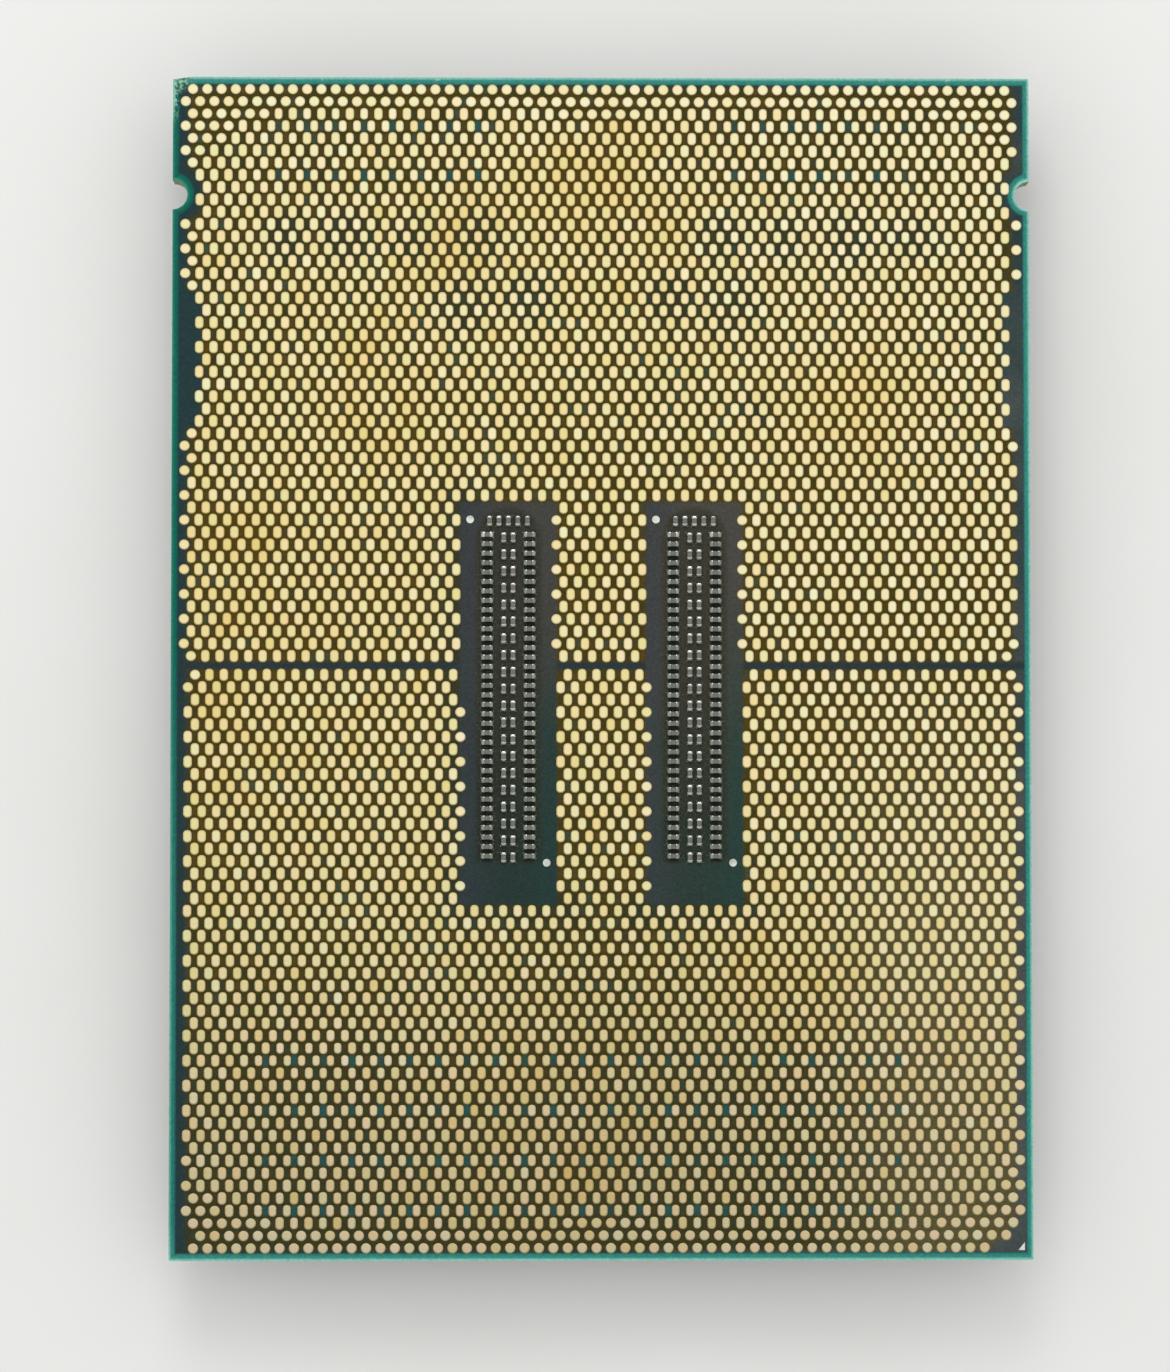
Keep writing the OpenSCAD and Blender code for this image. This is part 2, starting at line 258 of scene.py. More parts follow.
lamp_data = bpy.data.lights.new("soft_lamp", "AREA")
lamp_data.energy = LAMP_WATTS
lamp_data.size = LAMP_SIZE * MM
lamp = bpy.data.objects.new("soft_lamp", lamp_data)
scene.collection.objects.link(lamp)
lamp.location = [v * MM for v in LAMP_PLACE]
lamp.rotation_euler = Vector(LAMP_PLACE).to_track_quat("Z", "Y").to_euler()
print("lamp distance in mm:", round(Vector(LAMP_PLACE).length))

# %% Studio: floor
FLOOR_SIZE = 1500  # mm
FLOOR_TONE, FLOOR_SHADE = tone(238, 238, 236), tone(230, 230, 227)
FLOOR_CLOUDS = 25  # mm


def new_finish(name, **plain):
    """A material with its Principled shader; plain values go straight to the shader's own sockets."""
    material = bpy.data.materials.new(name)
    material.use_nodes = True
    shader = material.node_tree.nodes["Principled BSDF"]
    for socket, value in plain.items():
        shader.inputs[socket.replace("_", " ")].default_value = value
    return material, Graph(material.node_tree), shader


bpy.ops.object.select_all(action="DESELECT")
bpy.ops.mesh.primitive_plane_add(size=FLOOR_SIZE * MM)
floor = bpy.context.object
floor.name = "floor"
floor_finish, graph, shader = new_finish("pale_floor", Roughness=0.8, Specular_IOR_Level=0.1)
floor_clouds = graph.noise(graph.place(), FLOOR_CLOUDS)
graph.feed(shader.inputs["Base Color"], graph.mix(floor_clouds, FLOOR_SHADE, FLOOR_TONE))
floor.data.materials.append(floor_finish)
print("floor", FLOOR_SIZE, "mm wide")

# %% [markdown]
# ## Effects that several finishes share
# Every surface here has a fine grain and, on a larger scale, cloudy patches: plating, cured resin and fired
# ceramic are never even. One node group gives both masks, and each finish sets the size of its own grain. A
# second group tells how far a point lies from the outline of the board, key notches included. Both coats of
# solder mask use it, because a mask is thinner and worn along the edge, and so does the gold, which changes
# from end to end. A third group marks the few large patches where heat and handling have turned gold and
# mask a little warmer.

# %% Group: grain and clouds
GRAIN_DETAIL, CLOUD_DETAIL = 3.0, 2.0


def new_group(name, inputs, outputs):
    """A node group with plain number sockets, and the helper, inputs and outputs to fill it."""
    tree = bpy.data.node_groups.new(name, "ShaderNodeTree")
    for label, default in inputs.items():
        socket = tree.interface.new_socket(label, in_out="INPUT", socket_type="NodeSocketFloat")
        socket.default_value = default
    for label in outputs:
        tree.interface.new_socket(label, in_out="OUTPUT", socket_type="NodeSocketFloat")
    given = tree.nodes.new("NodeGroupInput").outputs
    result = tree.nodes.new("NodeGroupOutput").inputs
    return tree, Graph(tree), given, result


surface_grain, graph, given, result = new_group(
    "surface_grain", {"Grain Size": 0.1, "Cloud Size": 5.0}, ("Grain", "Clouds")
)
here = graph.place()
graph.feed(result["Grain"], graph.noise(here, given["Grain Size"], GRAIN_DETAIL))
graph.feed(result["Clouds"], graph.noise(here, given["Cloud Size"], CLOUD_DETAIL))
print("group", surface_grain.name, "with", len(surface_grain.nodes), "nodes")

# %% Group: distance from the outline of the board
END_BORDER, NOTCH_BORDER = 0.88, 0.9  # the border is wider there, so distances count for less
ON_SIDE = 0.01  # mm, points closer to a long side than this lie on it
CORNER_CLEAR = 3  # mm from the ends, where only the notches leave the long sides
EDGE_LABELS = ("Across", "Along", "Beside", "Before", "Edge", "Border", "Notch")

outline = np.array([v.co for v in nodes["mask_land_side"].data.vertices]) / MM
half_width, half_length = np.abs(outline[:, :2]).max(axis=0)
off_side = half_width - np.abs(outline[:, 0])
in_notch = (off_side > ON_SIDE) & (np.abs(outline[:, 1]) < half_length - CORNER_CLEAR)
notch_depth = off_side[in_notch].max()
notch_along = outline[in_notch][off_side[in_notch].argmax(), 1]

board_edge, graph, given, result = new_group("board_edge", {}, EDGE_LABELS)
split = graph.node("SeparateXYZ")
graph.feed(split.inputs[0], graph.place())
across, along = split.outputs["X"], split.outputs["Y"]
beside = graph.minus(half_width, graph.size_of(across))
before = graph.minus(half_length, graph.size_of(along))
notch = graph.minus(graph.diagonal(beside, graph.minus(along, notch_along)), notch_depth)
edge = graph.smallest(beside, before, notch)
border = graph.smallest(beside, graph.product(before, END_BORDER), graph.product(notch, NOTCH_BORDER))
for label, value in zip(EDGE_LABELS, (across, along, beside, before, edge, border, notch)):
    graph.feed(result[label], value)
print("board half size", half_width, half_length)
print("notch", round(notch_depth, 3), "mm deep at", round(notch_along, 3))

# %% Group: warm patches
WARM_PATCHES = (  # middle across and along, and reach, in mm
    (0, 31, 11), (-10, 28, 8), (-23, 6, 13), (-14, 18, 8),
    (16, 17, 9), (-22, -4, 10), (12, -21, 8), (-4, -31, 13),
)
WARM_BREAKS = 5.0  # mm, size of the noise that breaks up the patches
WARM_LIMITS = (0.25, 0.65)  # of that noise, from clear to warm

board_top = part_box("mask_land_side")[1].z / MM
warm_patches, graph, given, result = new_group("warm_patches", {}, ("Warm",))
here = graph.place()
near = [graph.rise(graph.distance(here, (x, y, board_top)), reach, 0) for x, y, reach in WARM_PATCHES]
breaks = graph.rise(graph.noise(here, WARM_BREAKS), *WARM_LIMITS)
graph.feed(result["Warm"], graph.product(graph.largest(*near), breaks))
print("group", warm_patches.name, "with", len(WARM_PATCHES), "patches")

# %% [markdown]
# ## Where the lands are
# The lands sit in two banks of staggered rows. Their places could be worked out again from the pitch, but
# the model already has them: each land is a separate solid in its node. Points that share a triangle belong
# to the same solid, so passing the lowest point number from triangle to triangle labels every solid, and
# the box of each label gives its middle and its size.

# %% Find the separate solids of a node
def joined(count, links):
    """Gives things that are linked, directly or through others, the same label."""
    label = np.arange(count)
    while True:
        lower = label.copy()
        np.minimum.at(lower, links, label[links].min(axis=1, keepdims=True))
        lower = lower[lower]
        if (lower == label).all():
            return label
        label = lower


def solids(node):
    """Middle and size, in mm, of each separate solid of a node, in a fixed order."""
    mesh = nodes[node].data
    points = np.empty(len(mesh.vertices) * 3)
    mesh.vertices.foreach_get("co", points)
    mesh.calc_loop_triangles()
    corners = np.empty(len(mesh.loop_triangles) * 3, int)
    mesh.loop_triangles.foreach_get("vertices", corners)
    points, same = np.unique((points.reshape(-1, 3) / MM).round(4), axis=0, return_inverse=True)
    label = joined(len(points), same.reshape(-1)[corners].reshape(-1, 3))
    order = np.argsort(label, kind="stable")
    starts = np.unique(label[order], return_index=True)[1]
    low = np.minimum.reduceat(points[order], starts)
    high = np.maximum.reduceat(points[order], starts)
    return (low + high) / 2, high - low


land_nodes = [name for name in nodes if name.startswith("lands_")]
LAND_KINDS = {
    "round": [name for name in land_nodes if name.endswith("_round")],
    "small": [name for name in land_nodes if name.endswith("_small")],
    "oblong": [name for name in land_nodes if "_rows_" in name],
}
land_sites = {name: solids(name) for names in LAND_KINDS.values() for name in sorted(names)}
all_lands = np.concatenate([middles for middles, sizes in land_sites.values()])
print("lands:", {kind: sum(len(land_sites[n][0]) for n in names) for kind, names in LAND_KINDS.items()})

# %% [markdown]
# ## The three shapes of land
# A land is a flat copper pad, plated with nickel and a flash of gold. Its outline is round at the rim of
# the field and oblong elsewhere, and etching and plating leave it with a soft shoulder. Each shape is
# modelled once. Operators round small lengths badly when a unit is a metre, so the shapes are drawn with
# one unit as a millimetre and shrunk when they are set. A shape that is set thousands of times has to have
# few faces.

# %% Edit-mode helpers
FACING = 0.9  # part of a direction along an axis, from which it counts as going that way


def start_block(name, low, high):
    """Adds a cube that fills the box between two corners."""
    bpy.ops.object.select_all(action="DESELECT")
    middle = [(a + b) / 2 for a, b in zip(low, high)]
    bpy.ops.mesh.primitive_cube_add(size=1, location=middle, scale=[b - a for a, b in zip(low, high)])
    bpy.ops.object.transform_apply(location=True, rotation=True, scale=True)
    piece = bpy.context.object
    piece.name = piece.data.name = name
    return piece


def pick(piece, part, test):
    """In edit mode, selects the faces or edges that pass a test on their middle and direction."""
    bpy.ops.mesh.select_all(action="DESELECT")
    bpy.ops.mesh.select_mode(type=part)
    shape = bmesh.from_edit_mesh(piece.data)
    shape.normal_update()
    for item in shape.faces if part == "FACE" else shape.edges:
        ends = [v.co for v in item.verts]
        middle = sum(ends, Vector()) / len(ends)
        way = item.normal if part == "FACE" else (ends[1] - ends[0]).normalized()
        item.select_set(bool(test(middle, way)))
    shape.select_flush_mode()
    bmesh.update_edit_mesh(piece.data)


def upright(middle, way):
    return abs(way.z) > FACING


def facing_up(middle, way):
    return way.z > FACING


print("start_block, pick and two tests for directions are ready")

# %% Model the round, oblong and small lands
ROUND_SIDES = 20
ROUND_SHARE = 1.02  # size of a round land against its solid
OBLONG_SHARE = (0.958, 0.972)  # width and length; its sides are flatter than those of its solid
SMALL_SHARE = (0.962, 0.965)
CORNER_SHARE = 0.42  # corner radius of an oblong land, as a share of its width
CORNER_STEPS = 3
SHOULDER_WIDTH = 0.07  # mm
SHOULDER_DROP = 0.006  # mm
FLAT = 0.9999  # Z part of a normal, from which a face is level

land_foot, land_crown = (corner.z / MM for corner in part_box("lands_notch_round"))


def land_size(kind):
    """Width and length of the lands of one kind, read from the model."""
    return np.median(land_sites[LAND_KINDS[kind][0]][1], axis=0)[:2]


def raise_crown(piece):
    """Insets and lifts the upper face, which makes a soft shoulder, and marks the faces of that shoulder."""
    pick(piece, "FACE", facing_up)
    bpy.ops.mesh.inset(thickness=SHOULDER_WIDTH, depth=SHOULDER_DROP)
    bpy.ops.object.mode_set(mode="OBJECT")
    slopes = [float(FACING < face.normal.z < FLAT) for face in piece.data.polygons]
    piece.data.attributes.new("shoulder", "FLOAT", "FACE").data.foreach_set("value", slopes)
    return piece


def oblong_land(name, size, share):
    half, top = tuple(size * share / 2), land_crown - SHOULDER_DROP
    piece = start_block(name, (-half[0], -half[1], land_foot), (*half, top))
    bpy.ops.object.mode_set(mode="EDIT")
    pick(piece, "EDGE", upright)
    bpy.ops.mesh.bevel(offset=2 * half[0] * CORNER_SHARE, segments=CORNER_STEPS, affect="EDGES")
    return raise_crown(piece)


def round_land(name, diameter):
    depth = land_crown - SHOULDER_DROP - land_foot
    middle = (0, 0, land_foot + depth / 2)
    bpy.ops.object.select_all(action="DESELECT")
    bpy.ops.mesh.primitive_cylinder_add(
        vertices=ROUND_SIDES, radius=diameter * ROUND_SHARE / 2, depth=depth, location=middle
    )
    bpy.ops.object.transform_apply(location=True, rotation=True, scale=True)
    piece = bpy.context.object
    piece.name = piece.data.name = name
    bpy.ops.object.mode_set(mode="EDIT")
    return raise_crown(piece)


land_shapes = {
    "round": round_land("round_land", land_size("round")[0]),
    "oblong": oblong_land("oblong_land", land_size("oblong"), OBLONG_SHARE),
    "small": oblong_land("small_land", land_size("small"), SMALL_SHARE),
}
print("faces:", {kind: len(shape.data.polygons) for kind, shape in land_shapes.items()})

# %% [markdown]
# ## Gold flash
# Gold over nickel is a metal, so its colour is the colour of its mirror light. The plating bath leaves each
# land a slightly different thickness of gold: some lands look pale, some yellow, a few rosy. That could be
# noise in space, but then one land would show two tones. Here every land carries two numbers of its own, as
# attributes on its faces, and the material mixes its tones by them. The gold is paler towards the notched
# end and one side, and duller towards the plain end, where the tints are stronger too. Some patches are
# warm, and one is tarnished. The colour of the shoulder is made darker: a painted reflection of the dark
# mask beside it.

# %% Gold: the tone of each land
GOLD_YELLOW, GOLD_PALE = tone(237, 221, 151), tone(247, 240, 200)
GOLD_ROSY, GOLD_GREEN = (1.035, 0.972, 0.985, 1), (0.97, 1.005, 0.99, 1)
PALE_END = (24, 38)  # mm along, where the gold grows paler
PALE_END_GAIN = 0.2
PALE_SIDE = (0, 20)  # mm across, where it grows a little paler
PALE_SIDE_START = (-24, -6)  # mm along, where that begins
PALE_SIDE_GAIN = 0.22
DULL_END = (-16, -30)  # mm along, where it grows duller
TINT_MIDDLE = 0.5  # the number of a land that is neither rosy nor green
TINT_GAIN = 0.9  # how much the tints grow at the dull end

gold_flash, graph, shader = new_finish("gold_flash", Metallic=1.0)
board = graph.group(board_edge)
across, along = board["Across"], board["Along"]
pale, rosy, shoulder = (
    graph.node("Attribute", attribute_name=name).outputs["Fac"] for name in ("pale", "rosy", "shoulder")
)
pale = graph.scaled(graph.rise(along, *PALE_END), PALE_END_GAIN, pale)
pale_side = graph.product(graph.rise(across, *PALE_SIDE), graph.rise(along, *PALE_SIDE_START))
pale = graph.scaled(pale_side, PALE_SIDE_GAIN, pale)
dull = graph.rise(along, *DULL_END)
tint = graph.scaled(graph.minus(rosy, TINT_MIDDLE), graph.scaled(dull, TINT_GAIN, 1.0), TINT_MIDDLE)
colour = graph.mix(graph.smallest(pale, 1.0), GOLD_YELLOW, GOLD_PALE)
colour = graph.tinted(1.0, colour, graph.mix(tint, GOLD_GREEN, GOLD_ROSY))
print("gold_flash has", len(graph.tree.nodes), "nodes so far")

# %% Gold: patches, shoulder and grain
GOLD_WARM = (0.95, 0.88, 0.69, 1)
GOLD_DULL = (1.0, 0.95, 1.0, 1)
GOLD_TARNISHED = (0.92, 0.92, 0.88, 1)
# painted reflection: the shoulder faces are darkened for the dark mask beside each land
SHOULDER_PAINTED_REFLECTION = (0.72, 0.68, 0.58, 1)
TARNISHED = (4, -28)  # mm, middle of the tarnished patch
TARNISH_REACH = (14, 3)  # mm from there, from clear to full
GOLD_ROUGHNESS = (0.08, 0.14)  # gain with the noise, and the least
GOLD_RELIEF = (0.25, 0.01)  # strength, and depth in mm


def cover(graph, shader, colour, roughness, relief):
    """Ends a finish; roughness is (noise, gain, least), and relief is (height, strength, depth)."""
    graph.feed(shader.inputs["Base Color"], colour)
    graph.feed(shader.inputs["Roughness"], graph.scaled(*roughness))
    graph.feed(shader.inputs["Normal"], graph.bump(*relief))


warm = graph.group(warm_patches)["Warm"]
tarnish = graph.rise(graph.distance(graph.place(), (*TARNISHED, land_crown)), *TARNISH_REACH)
colour = graph.tinted(warm, colour, GOLD_WARM)
colour = graph.tinted(dull, colour, GOLD_DULL)
colour = graph.tinted(tarnish, colour, GOLD_TARNISHED)
# painted reflection of the dark mask beside each land, on its shoulder faces
colour = graph.tinted(shoulder, colour, SHOULDER_PAINTED_REFLECTION)
grain = graph.group(surface_grain, Grain_Size=0.08)["Grain"]
cover(graph, shader, colour, (grain, *GOLD_ROUGHNESS), (grain, *GOLD_RELIEF))
print("gold_flash has", len(graph.tree.nodes), "nodes")

# %% [markdown]
# ## Setting the lands
# A group of lands could be instances of one mesh, but each piece has to be a plain mesh of its own, so the
# shape is copied to every site and the copies are joined. The etching bath took a little more copper in
# some regions, so the lands there are set a few per cent smaller. The two numbers of a land are drawn from
# a seeded source, so that the same land gets the same tone in every run.

# %% Helpers that copy a shape and finish a piece
QUARTER_TURN = math.pi / 2


def set_copies(name, shapes, places, turns=None, sizes=None):
    """Joins copies of shapes, one for each place, drawn in mm; turns are quarter turns about Z."""
    bpy.ops.object.select_all(action="DESELECT")
    for index, (shape, place) in enumerate(zip(shapes, places)):
        copy = shape.copy()
        copy.data = shape.data.copy()
        copy.location = [v * MM for v in place]
        size = MM * (sizes[index] if sizes is not None else 1)
        copy.scale = (size, size, MM)
        copy.rotation_euler.z = QUARTER_TURN * (turns[index] if turns is not None else 0)
        scene.collection.objects.link(copy)
        copy.select_set(True)
    bpy.context.view_layer.objects.active = copy
    bpy.ops.object.join()
    bpy.ops.object.transform_apply(location=True, rotation=True, scale=True)
    piece = bpy.context.object
    piece.name = piece.data.name = name
    return piece


def on_board(middles):
    """Places over the plan of the board, because the shapes already have their heights."""
    return [(x, y, 0) for x, y, z in middles]


def face_numbers(piece, label, values):
    """Gives every face of a piece a number of its own, in the order of the faces."""
    piece.data.attributes.new(label, "FLOAT", "FACE").data.foreach_set("value", values)


def finish_piece(piece, material, slot, *stands_for):
    """Gives a piece its finish and its body, and hides the nodes that it stands for."""
    piece.data.materials.clear()
    piece.data.materials.append(material)
    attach(piece, "root")
    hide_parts(*stands_for)


print("set_copies, on_board, face_numbers and finish_piece are ready")

# %% Copy each land to its site
LAND_SEED = 11
PALE_MIDDLE = {"round": 0.6, "oblong": 0.4, "small": 0.6}
PALE_SPREAD = 0.165
ROSY_SPREAD = 0.33
ETCHED_SMALLER = (  # middle across and along, reach in mm, and the share that the etch took off
    (0, -18, 11, 0.09), (-19, -26, 10, 0.08), (16, 0, 15, 0.05), (0, 10, 11, 0.05), (14, -33, 14, 0.07),
)


def etched(place):
    """Size of a land at a place, against the shape that was modelled."""
    taken = 0
    for x, y, reach, share in ETCHED_SMALLER:
        taken = max(taken, share * (1 - math.hypot(place[0] - x, place[1] - y) / reach))
    return 1 - taken


def drawn_tint(kind):
    """The two numbers of one land, from 0 to 1: how pale and how rosy it is."""
    drawn = draw.gauss(PALE_MIDDLE[kind], PALE_SPREAD), draw.gauss(TINT_MIDDLE, ROSY_SPREAD)
    return [min(max(v, 0), 1) for v in drawn]


draw = random.Random(LAND_SEED)
for kind, names in LAND_KINDS.items():
    shape = land_shapes[kind]
    faces = len(shape.data.polygons)
    for name in sorted(names):
        places = on_board(land_sites[name][0])
        sizes = [etched(place) for place in places]
        piece = set_copies(name + "_gold", [shape] * len(places), places, sizes=sizes)
        tints = [drawn_tint(kind) for place in places]
        for label, values in zip(("pale", "rosy"), zip(*tints)):
            face_numbers(piece, label, [v for v in values for face in range(faces)])
        finish_piece(piece, gold_flash, "gold", name)
        print(piece.name, len(places), "lands,", len(piece.data.polygons), "faces")
for shape in land_shapes.values():
    bpy.data.objects.remove(shape)

# %% [markdown]
# ## The lattice
# The mask between the lands changes its tone from gap to gap, so its material has to know which gap a point
# lies in. The lands stand in rows, every second row set over by half a pitch, and one bank is the other
# turned half round. Pitch, row height and sideways shift are measured from the lands. A rounding node then
# turns a place into the number of its row and of its gap, and what is left over tells how far the point is
# from the middle of the gap.

# %% Measure the lattice and number its gaps
HALF_PITCH = 0.5


def lattice_of(bank):
    """Pitch, shift, height of a row and of the first row, in mm, of one bank of lands."""
    rows = {}
    for x, y, z in all_lands[all_lands[:, 1] * bank > 0]:
        rows.setdefault(round(abs(y), 2), []).append(x * bank)
    heights = sorted(rows)
    xs = np.sort(rows[heights[1]])
    pitch = np.diff(xs).min()
    return pitch, (xs[0] + xs[-1]) / 2, (heights[-1] - heights[0]) / (len(heights) - 1), heights[0]


def off_nearest(graph, value):
    """How far a value lies from the nearest whole number."""
    return graph.size_of(graph.minus(value, graph.calc("ROUND", value)))


def numbered_gaps(graph, across, along):
    """A random number for each gap between two lands, and how far off its middle a point is, in mm."""
    bank = graph.calc("SIGN", along)
    row = graph.calc("DIVIDE", graph.minus(graph.size_of(along), first_row), row_height)
    every_second = graph.calc("MODULO", graph.calc("ROUND", row), 2.0)
    column = graph.scaled(graph.product(across, bank), 1 / pitch, -shift / pitch)
    column = graph.scaled(every_second, -HALF_PITCH, column)
    number = graph.node("CombineXYZ")
    for socket, value in zip(number.inputs, (graph.calc("ROUND", column), graph.calc("ROUND", row), bank)):
        graph.feed(socket, value)
    chance = graph.node("TexWhiteNoise", noise_dimensions="3D")
    graph.feed(chance.inputs["Vector"], number.outputs[0])
    off_across = graph.product(off_nearest(graph, column), pitch)
    off_along = graph.product(off_nearest(graph, row), row_height)
    return chance.outputs["Value"], off_across, off_along


pitch, shift, row_height, first_row = lattice_of(1)
print("pitch", round(pitch, 4), "shift", round(shift, 3))
print("row height", round(row_height, 5), "first row", first_row)

# %% [markdown]
# ## Solder mask of the land side: the field
# The mask is a dark green film over copper. Between the lands the copper below makes it look olive and
# brown: the tone changes from gap to gap, and beside each land the film is browner. Like tones gather, the
# middle rows are warmer, one corner is hazy, and the plain end is greyer. Round the clusters of small
# signal lands the copper is cut away, and there the mask is a darker slate green. Painting all this would
# need an image. Instead each gap draws its tone by its number, and the clusters are found: small lands that
# lie close together are linked, and each set of linked lands gives the middle and the reach of one soft
# round patch.

# %% Find the clusters of small lands
CLUSTER_LINK = 1.4  # mm, lands closer than this belong together
CLUSTER_LANDS = 3  # fewer make no cluster
CLUSTER_SPAN = 8  # mm, wider sets are signal rows
ODD_CLUSTER = (10.1, 17.0)  # mm, one more dark patch among the oblong lands

small_lands = np.concatenate([land_sites[name][0] for name in LAND_KINDS["small"]])
apart = np.linalg.norm(small_lands[:, None] - small_lands[None], axis=2)
label = joined(len(small_lands), np.argwhere(apart < CLUSTER_LINK))
sets = [small_lands[label == mark] for mark in np.unique(label)]
clusters = [lands for lands in sets if len(lands) >= CLUSTER_LANDS and np.ptp(lands[:, 0]) < CLUSTER_SPAN]
clusters.append(np.array([(*ODD_CLUSTER, small_lands[0, 2])]))
print(len(clusters), "clusters of small lands")

# %% Mask, first layer: the film between the lands
FILM_TONES = (
    (0.00, tone(56, 73, 59)), (0.07, tone(62, 67, 48)), (0.14, tone(60, 59, 38)), (0.34, tone(54, 54, 22)),
    (0.52, tone(64, 58, 24)), (0.72, tone(74, 62, 24)), (0.88, tone(80, 66, 28)), (1.00, tone(82, 64, 20)),
)
FILM_RIM = tone(68, 58, 14)  # beside a land
FILM_HALF = (0.13, 0.3)  # mm, half width and half length of the film that shows its own tone in a gap
FILM_SOFT = 0.07  # mm
DRIFT_SIZE = 4.0  # mm, clouds that make like tones gather
DRIFT, DRIFT_MIDDLE = 0.8, 0.5  # how much they count, and where they change nothing

mask_finish, graph, shader = new_finish("land_side_mask", Specular_IOR_Level=0.06)
here = graph.place()
board = graph.group(board_edge)
across, along = board["Across"], board["Along"]
grain = graph.group(surface_grain, Grain_Size=0.12, Cloud_Size=7.0)
chance, off_across, off_along = numbered_gaps(graph, across, along)
drift = graph.minus(graph.noise(here, DRIFT_SIZE), DRIFT_MIDDLE)
gap_tone = graph.ramp(graph.scaled(drift, DRIFT, chance), FILM_TONES)
offs = zip((off_across, off_along), FILM_HALF)
in_gap = graph.product(*(graph.under(off, half, FILM_SOFT) for off, half in offs))
field_tone = graph.mix(in_gap, FILM_RIM, gap_tone)
print("film with", len(FILM_TONES), "tones")

# %% Mask, second layer: warm, dull, hazy and dark parts of the field
WARM_FIELD, WARM_WEIGHT = tone(80, 61, 8), 0.8
WARM_ROWS_MIDDLE = 3  # mm along
WARM_ROWS_REACH = (17, 7)  # mm from there, where the rows grow a little warmer
WARM_ROWS_WEIGHT = 0.3
DULL_FIELD, DULL_WEIGHT = tone(50, 54, 34), 0.65
DULL_ALONG = (-14, -32)  # mm, where the film grows greyer
HAZY_FIELD, HAZE_WEIGHT = tone(91, 84, 55), 0.8
HAZE_ACROSS, HAZE_ALONG = (12, 22), (4, -20)  # mm, one corner where the film is thin and pale
CLUSTER_TONE, CLUSTER_WEIGHT = tone(42, 51, 38), 0.55
CLUSTER_SOFT = (1.7, 0.4)  # mm beyond the outermost land, from clear to dark

warm = graph.product(graph.group(warm_patches)["Warm"], WARM_WEIGHT)
off_rows = graph.size_of(graph.minus(along, WARM_ROWS_MIDDLE))
warm_rows = graph.product(graph.rise(off_rows, *WARM_ROWS_REACH), WARM_ROWS_WEIGHT)
field_tone = graph.mix(graph.largest(warm, warm_rows), field_tone, WARM_FIELD)
dull = graph.product(graph.rise(along, *DULL_ALONG), DULL_WEIGHT)
field_tone = graph.mix(dull, field_tone, DULL_FIELD)
haze = graph.product(graph.rise(across, *HAZE_ACROSS), graph.rise(along, *HAZE_ALONG), HAZE_WEIGHT)
field_tone = graph.mix(haze, field_tone, HAZY_FIELD)
near = []
for lands in clusters:
    middle = lands.mean(axis=0)
    reach = np.linalg.norm(lands - middle, axis=1).max()
    near.append(graph.rise(graph.distance(here, middle), *(reach + soft for soft in CLUSTER_SOFT)))
in_cluster = graph.product(graph.largest(*near), CLUSTER_WEIGHT)
field_tone = graph.mix(in_cluster, field_tone, CLUSTER_TONE)
print("field with", len(near), "dark patches")

# %% [markdown]
# ## Solder mask: windows and bare zones
# Where there are no lands the mask is a smooth slate: along the sides, round the notches, in the two bare
# stretches, in the marked corner, between the two banks and in the two windows. Round the capacitors each
# window has a darker, round-ended patch, where the mask was opened for solder, and beside one window and
# below both of them the field is darker. These zones have simple outlines, so they are worked out from
# where a point lies: two limits make a strip, two strips make a window, and the distance from a line makes
# a patch with round ends.

# %% Measure the windows and the bare stretches
COLUMN_REACH = 1  # mm, lands so near to the middle line of a window stand above or below it
BARE_GAP = 1.7  # mm from the side to the middle of the outermost land, in rows of a bare stretch

body_sites = {side: solids(side + "_capacitor_bodies") for side in ("left", "right")}
body_across = body_sites["right"][0][:, 0]
window_across = np.mean(body_across)
column_off = np.abs(body_across - window_across).max()
column = all_lands[np.abs(np.abs(all_lands[:, 0]) - window_across) < COLUMN_REACH, 1]
land_length = land_size("oblong")[1]
window_top = column[column > 0].min() - land_length / 2
window_foot = column[column < 0].max() + land_length / 2

outermost = {}
for x, y, z in all_lands:
    row = round(y, 2)
    outermost[row] = max(abs(x), outermost.get(row, 0))
set_back = [y for y, x in outermost.items() if half_width - x > BARE_GAP]
bare_rows = [y for y in set_back if 0 < y < notch_along - 2 * notch_depth]
bare_stretch = min(bare_rows) - land_length / 2, max(bare_rows) + land_length / 2
print("windows at", round(window_across, 2), "mm, from", round(window_foot, 2), "to", round(window_top, 2))
print("bare stretch in mm:", [round(y, 2) for y in bare_stretch])

# %% Mask, third layer: the windows
WINDOW_HALF = 3.2  # mm, half the width of a capacitor window
WINDOW_TOP_TONE, WINDOW_FOOT_TONE = tone(66, 66, 62), tone(39, 55, 52)
PATCH_HALF = 2.15  # mm, half the width of the dark patch
PATCH_TOP, PATCH_FOOT = 10.4, -12.9  # mm along, the upper end is round
PATCH_TOP_TONE, PATCH_FOOT_TONE = tone(56, 55, 47), tone(39, 50, 42)
FOOT_TO_TOP = (-10, 10)  # mm along, where the tones of the foot turn into those of the top
TURN_CLOUDS = 10.0  # mm, how far clouds move that turn
BLUE_SIDE, BLUE_WEIGHT = tone(51, 58, 63), 0.7  # left of the chips
GREEN_SIDE, GREEN_WEIGHT = tone(35, 60, 56), 0.8  # right of the chips, towards the foot
GREEN_START = 0.5  # mm right of the middle of a window
GREEN_ALONG = (9, -3)  # mm
RIGHT_WINDOW = (1.17, 1.13, 1.07, 1)  # the film of the right window is a little paler
LEFT_TO_RIGHT = (-1, 1)  # mm across
ZONE_SOFT = 0.2  # mm

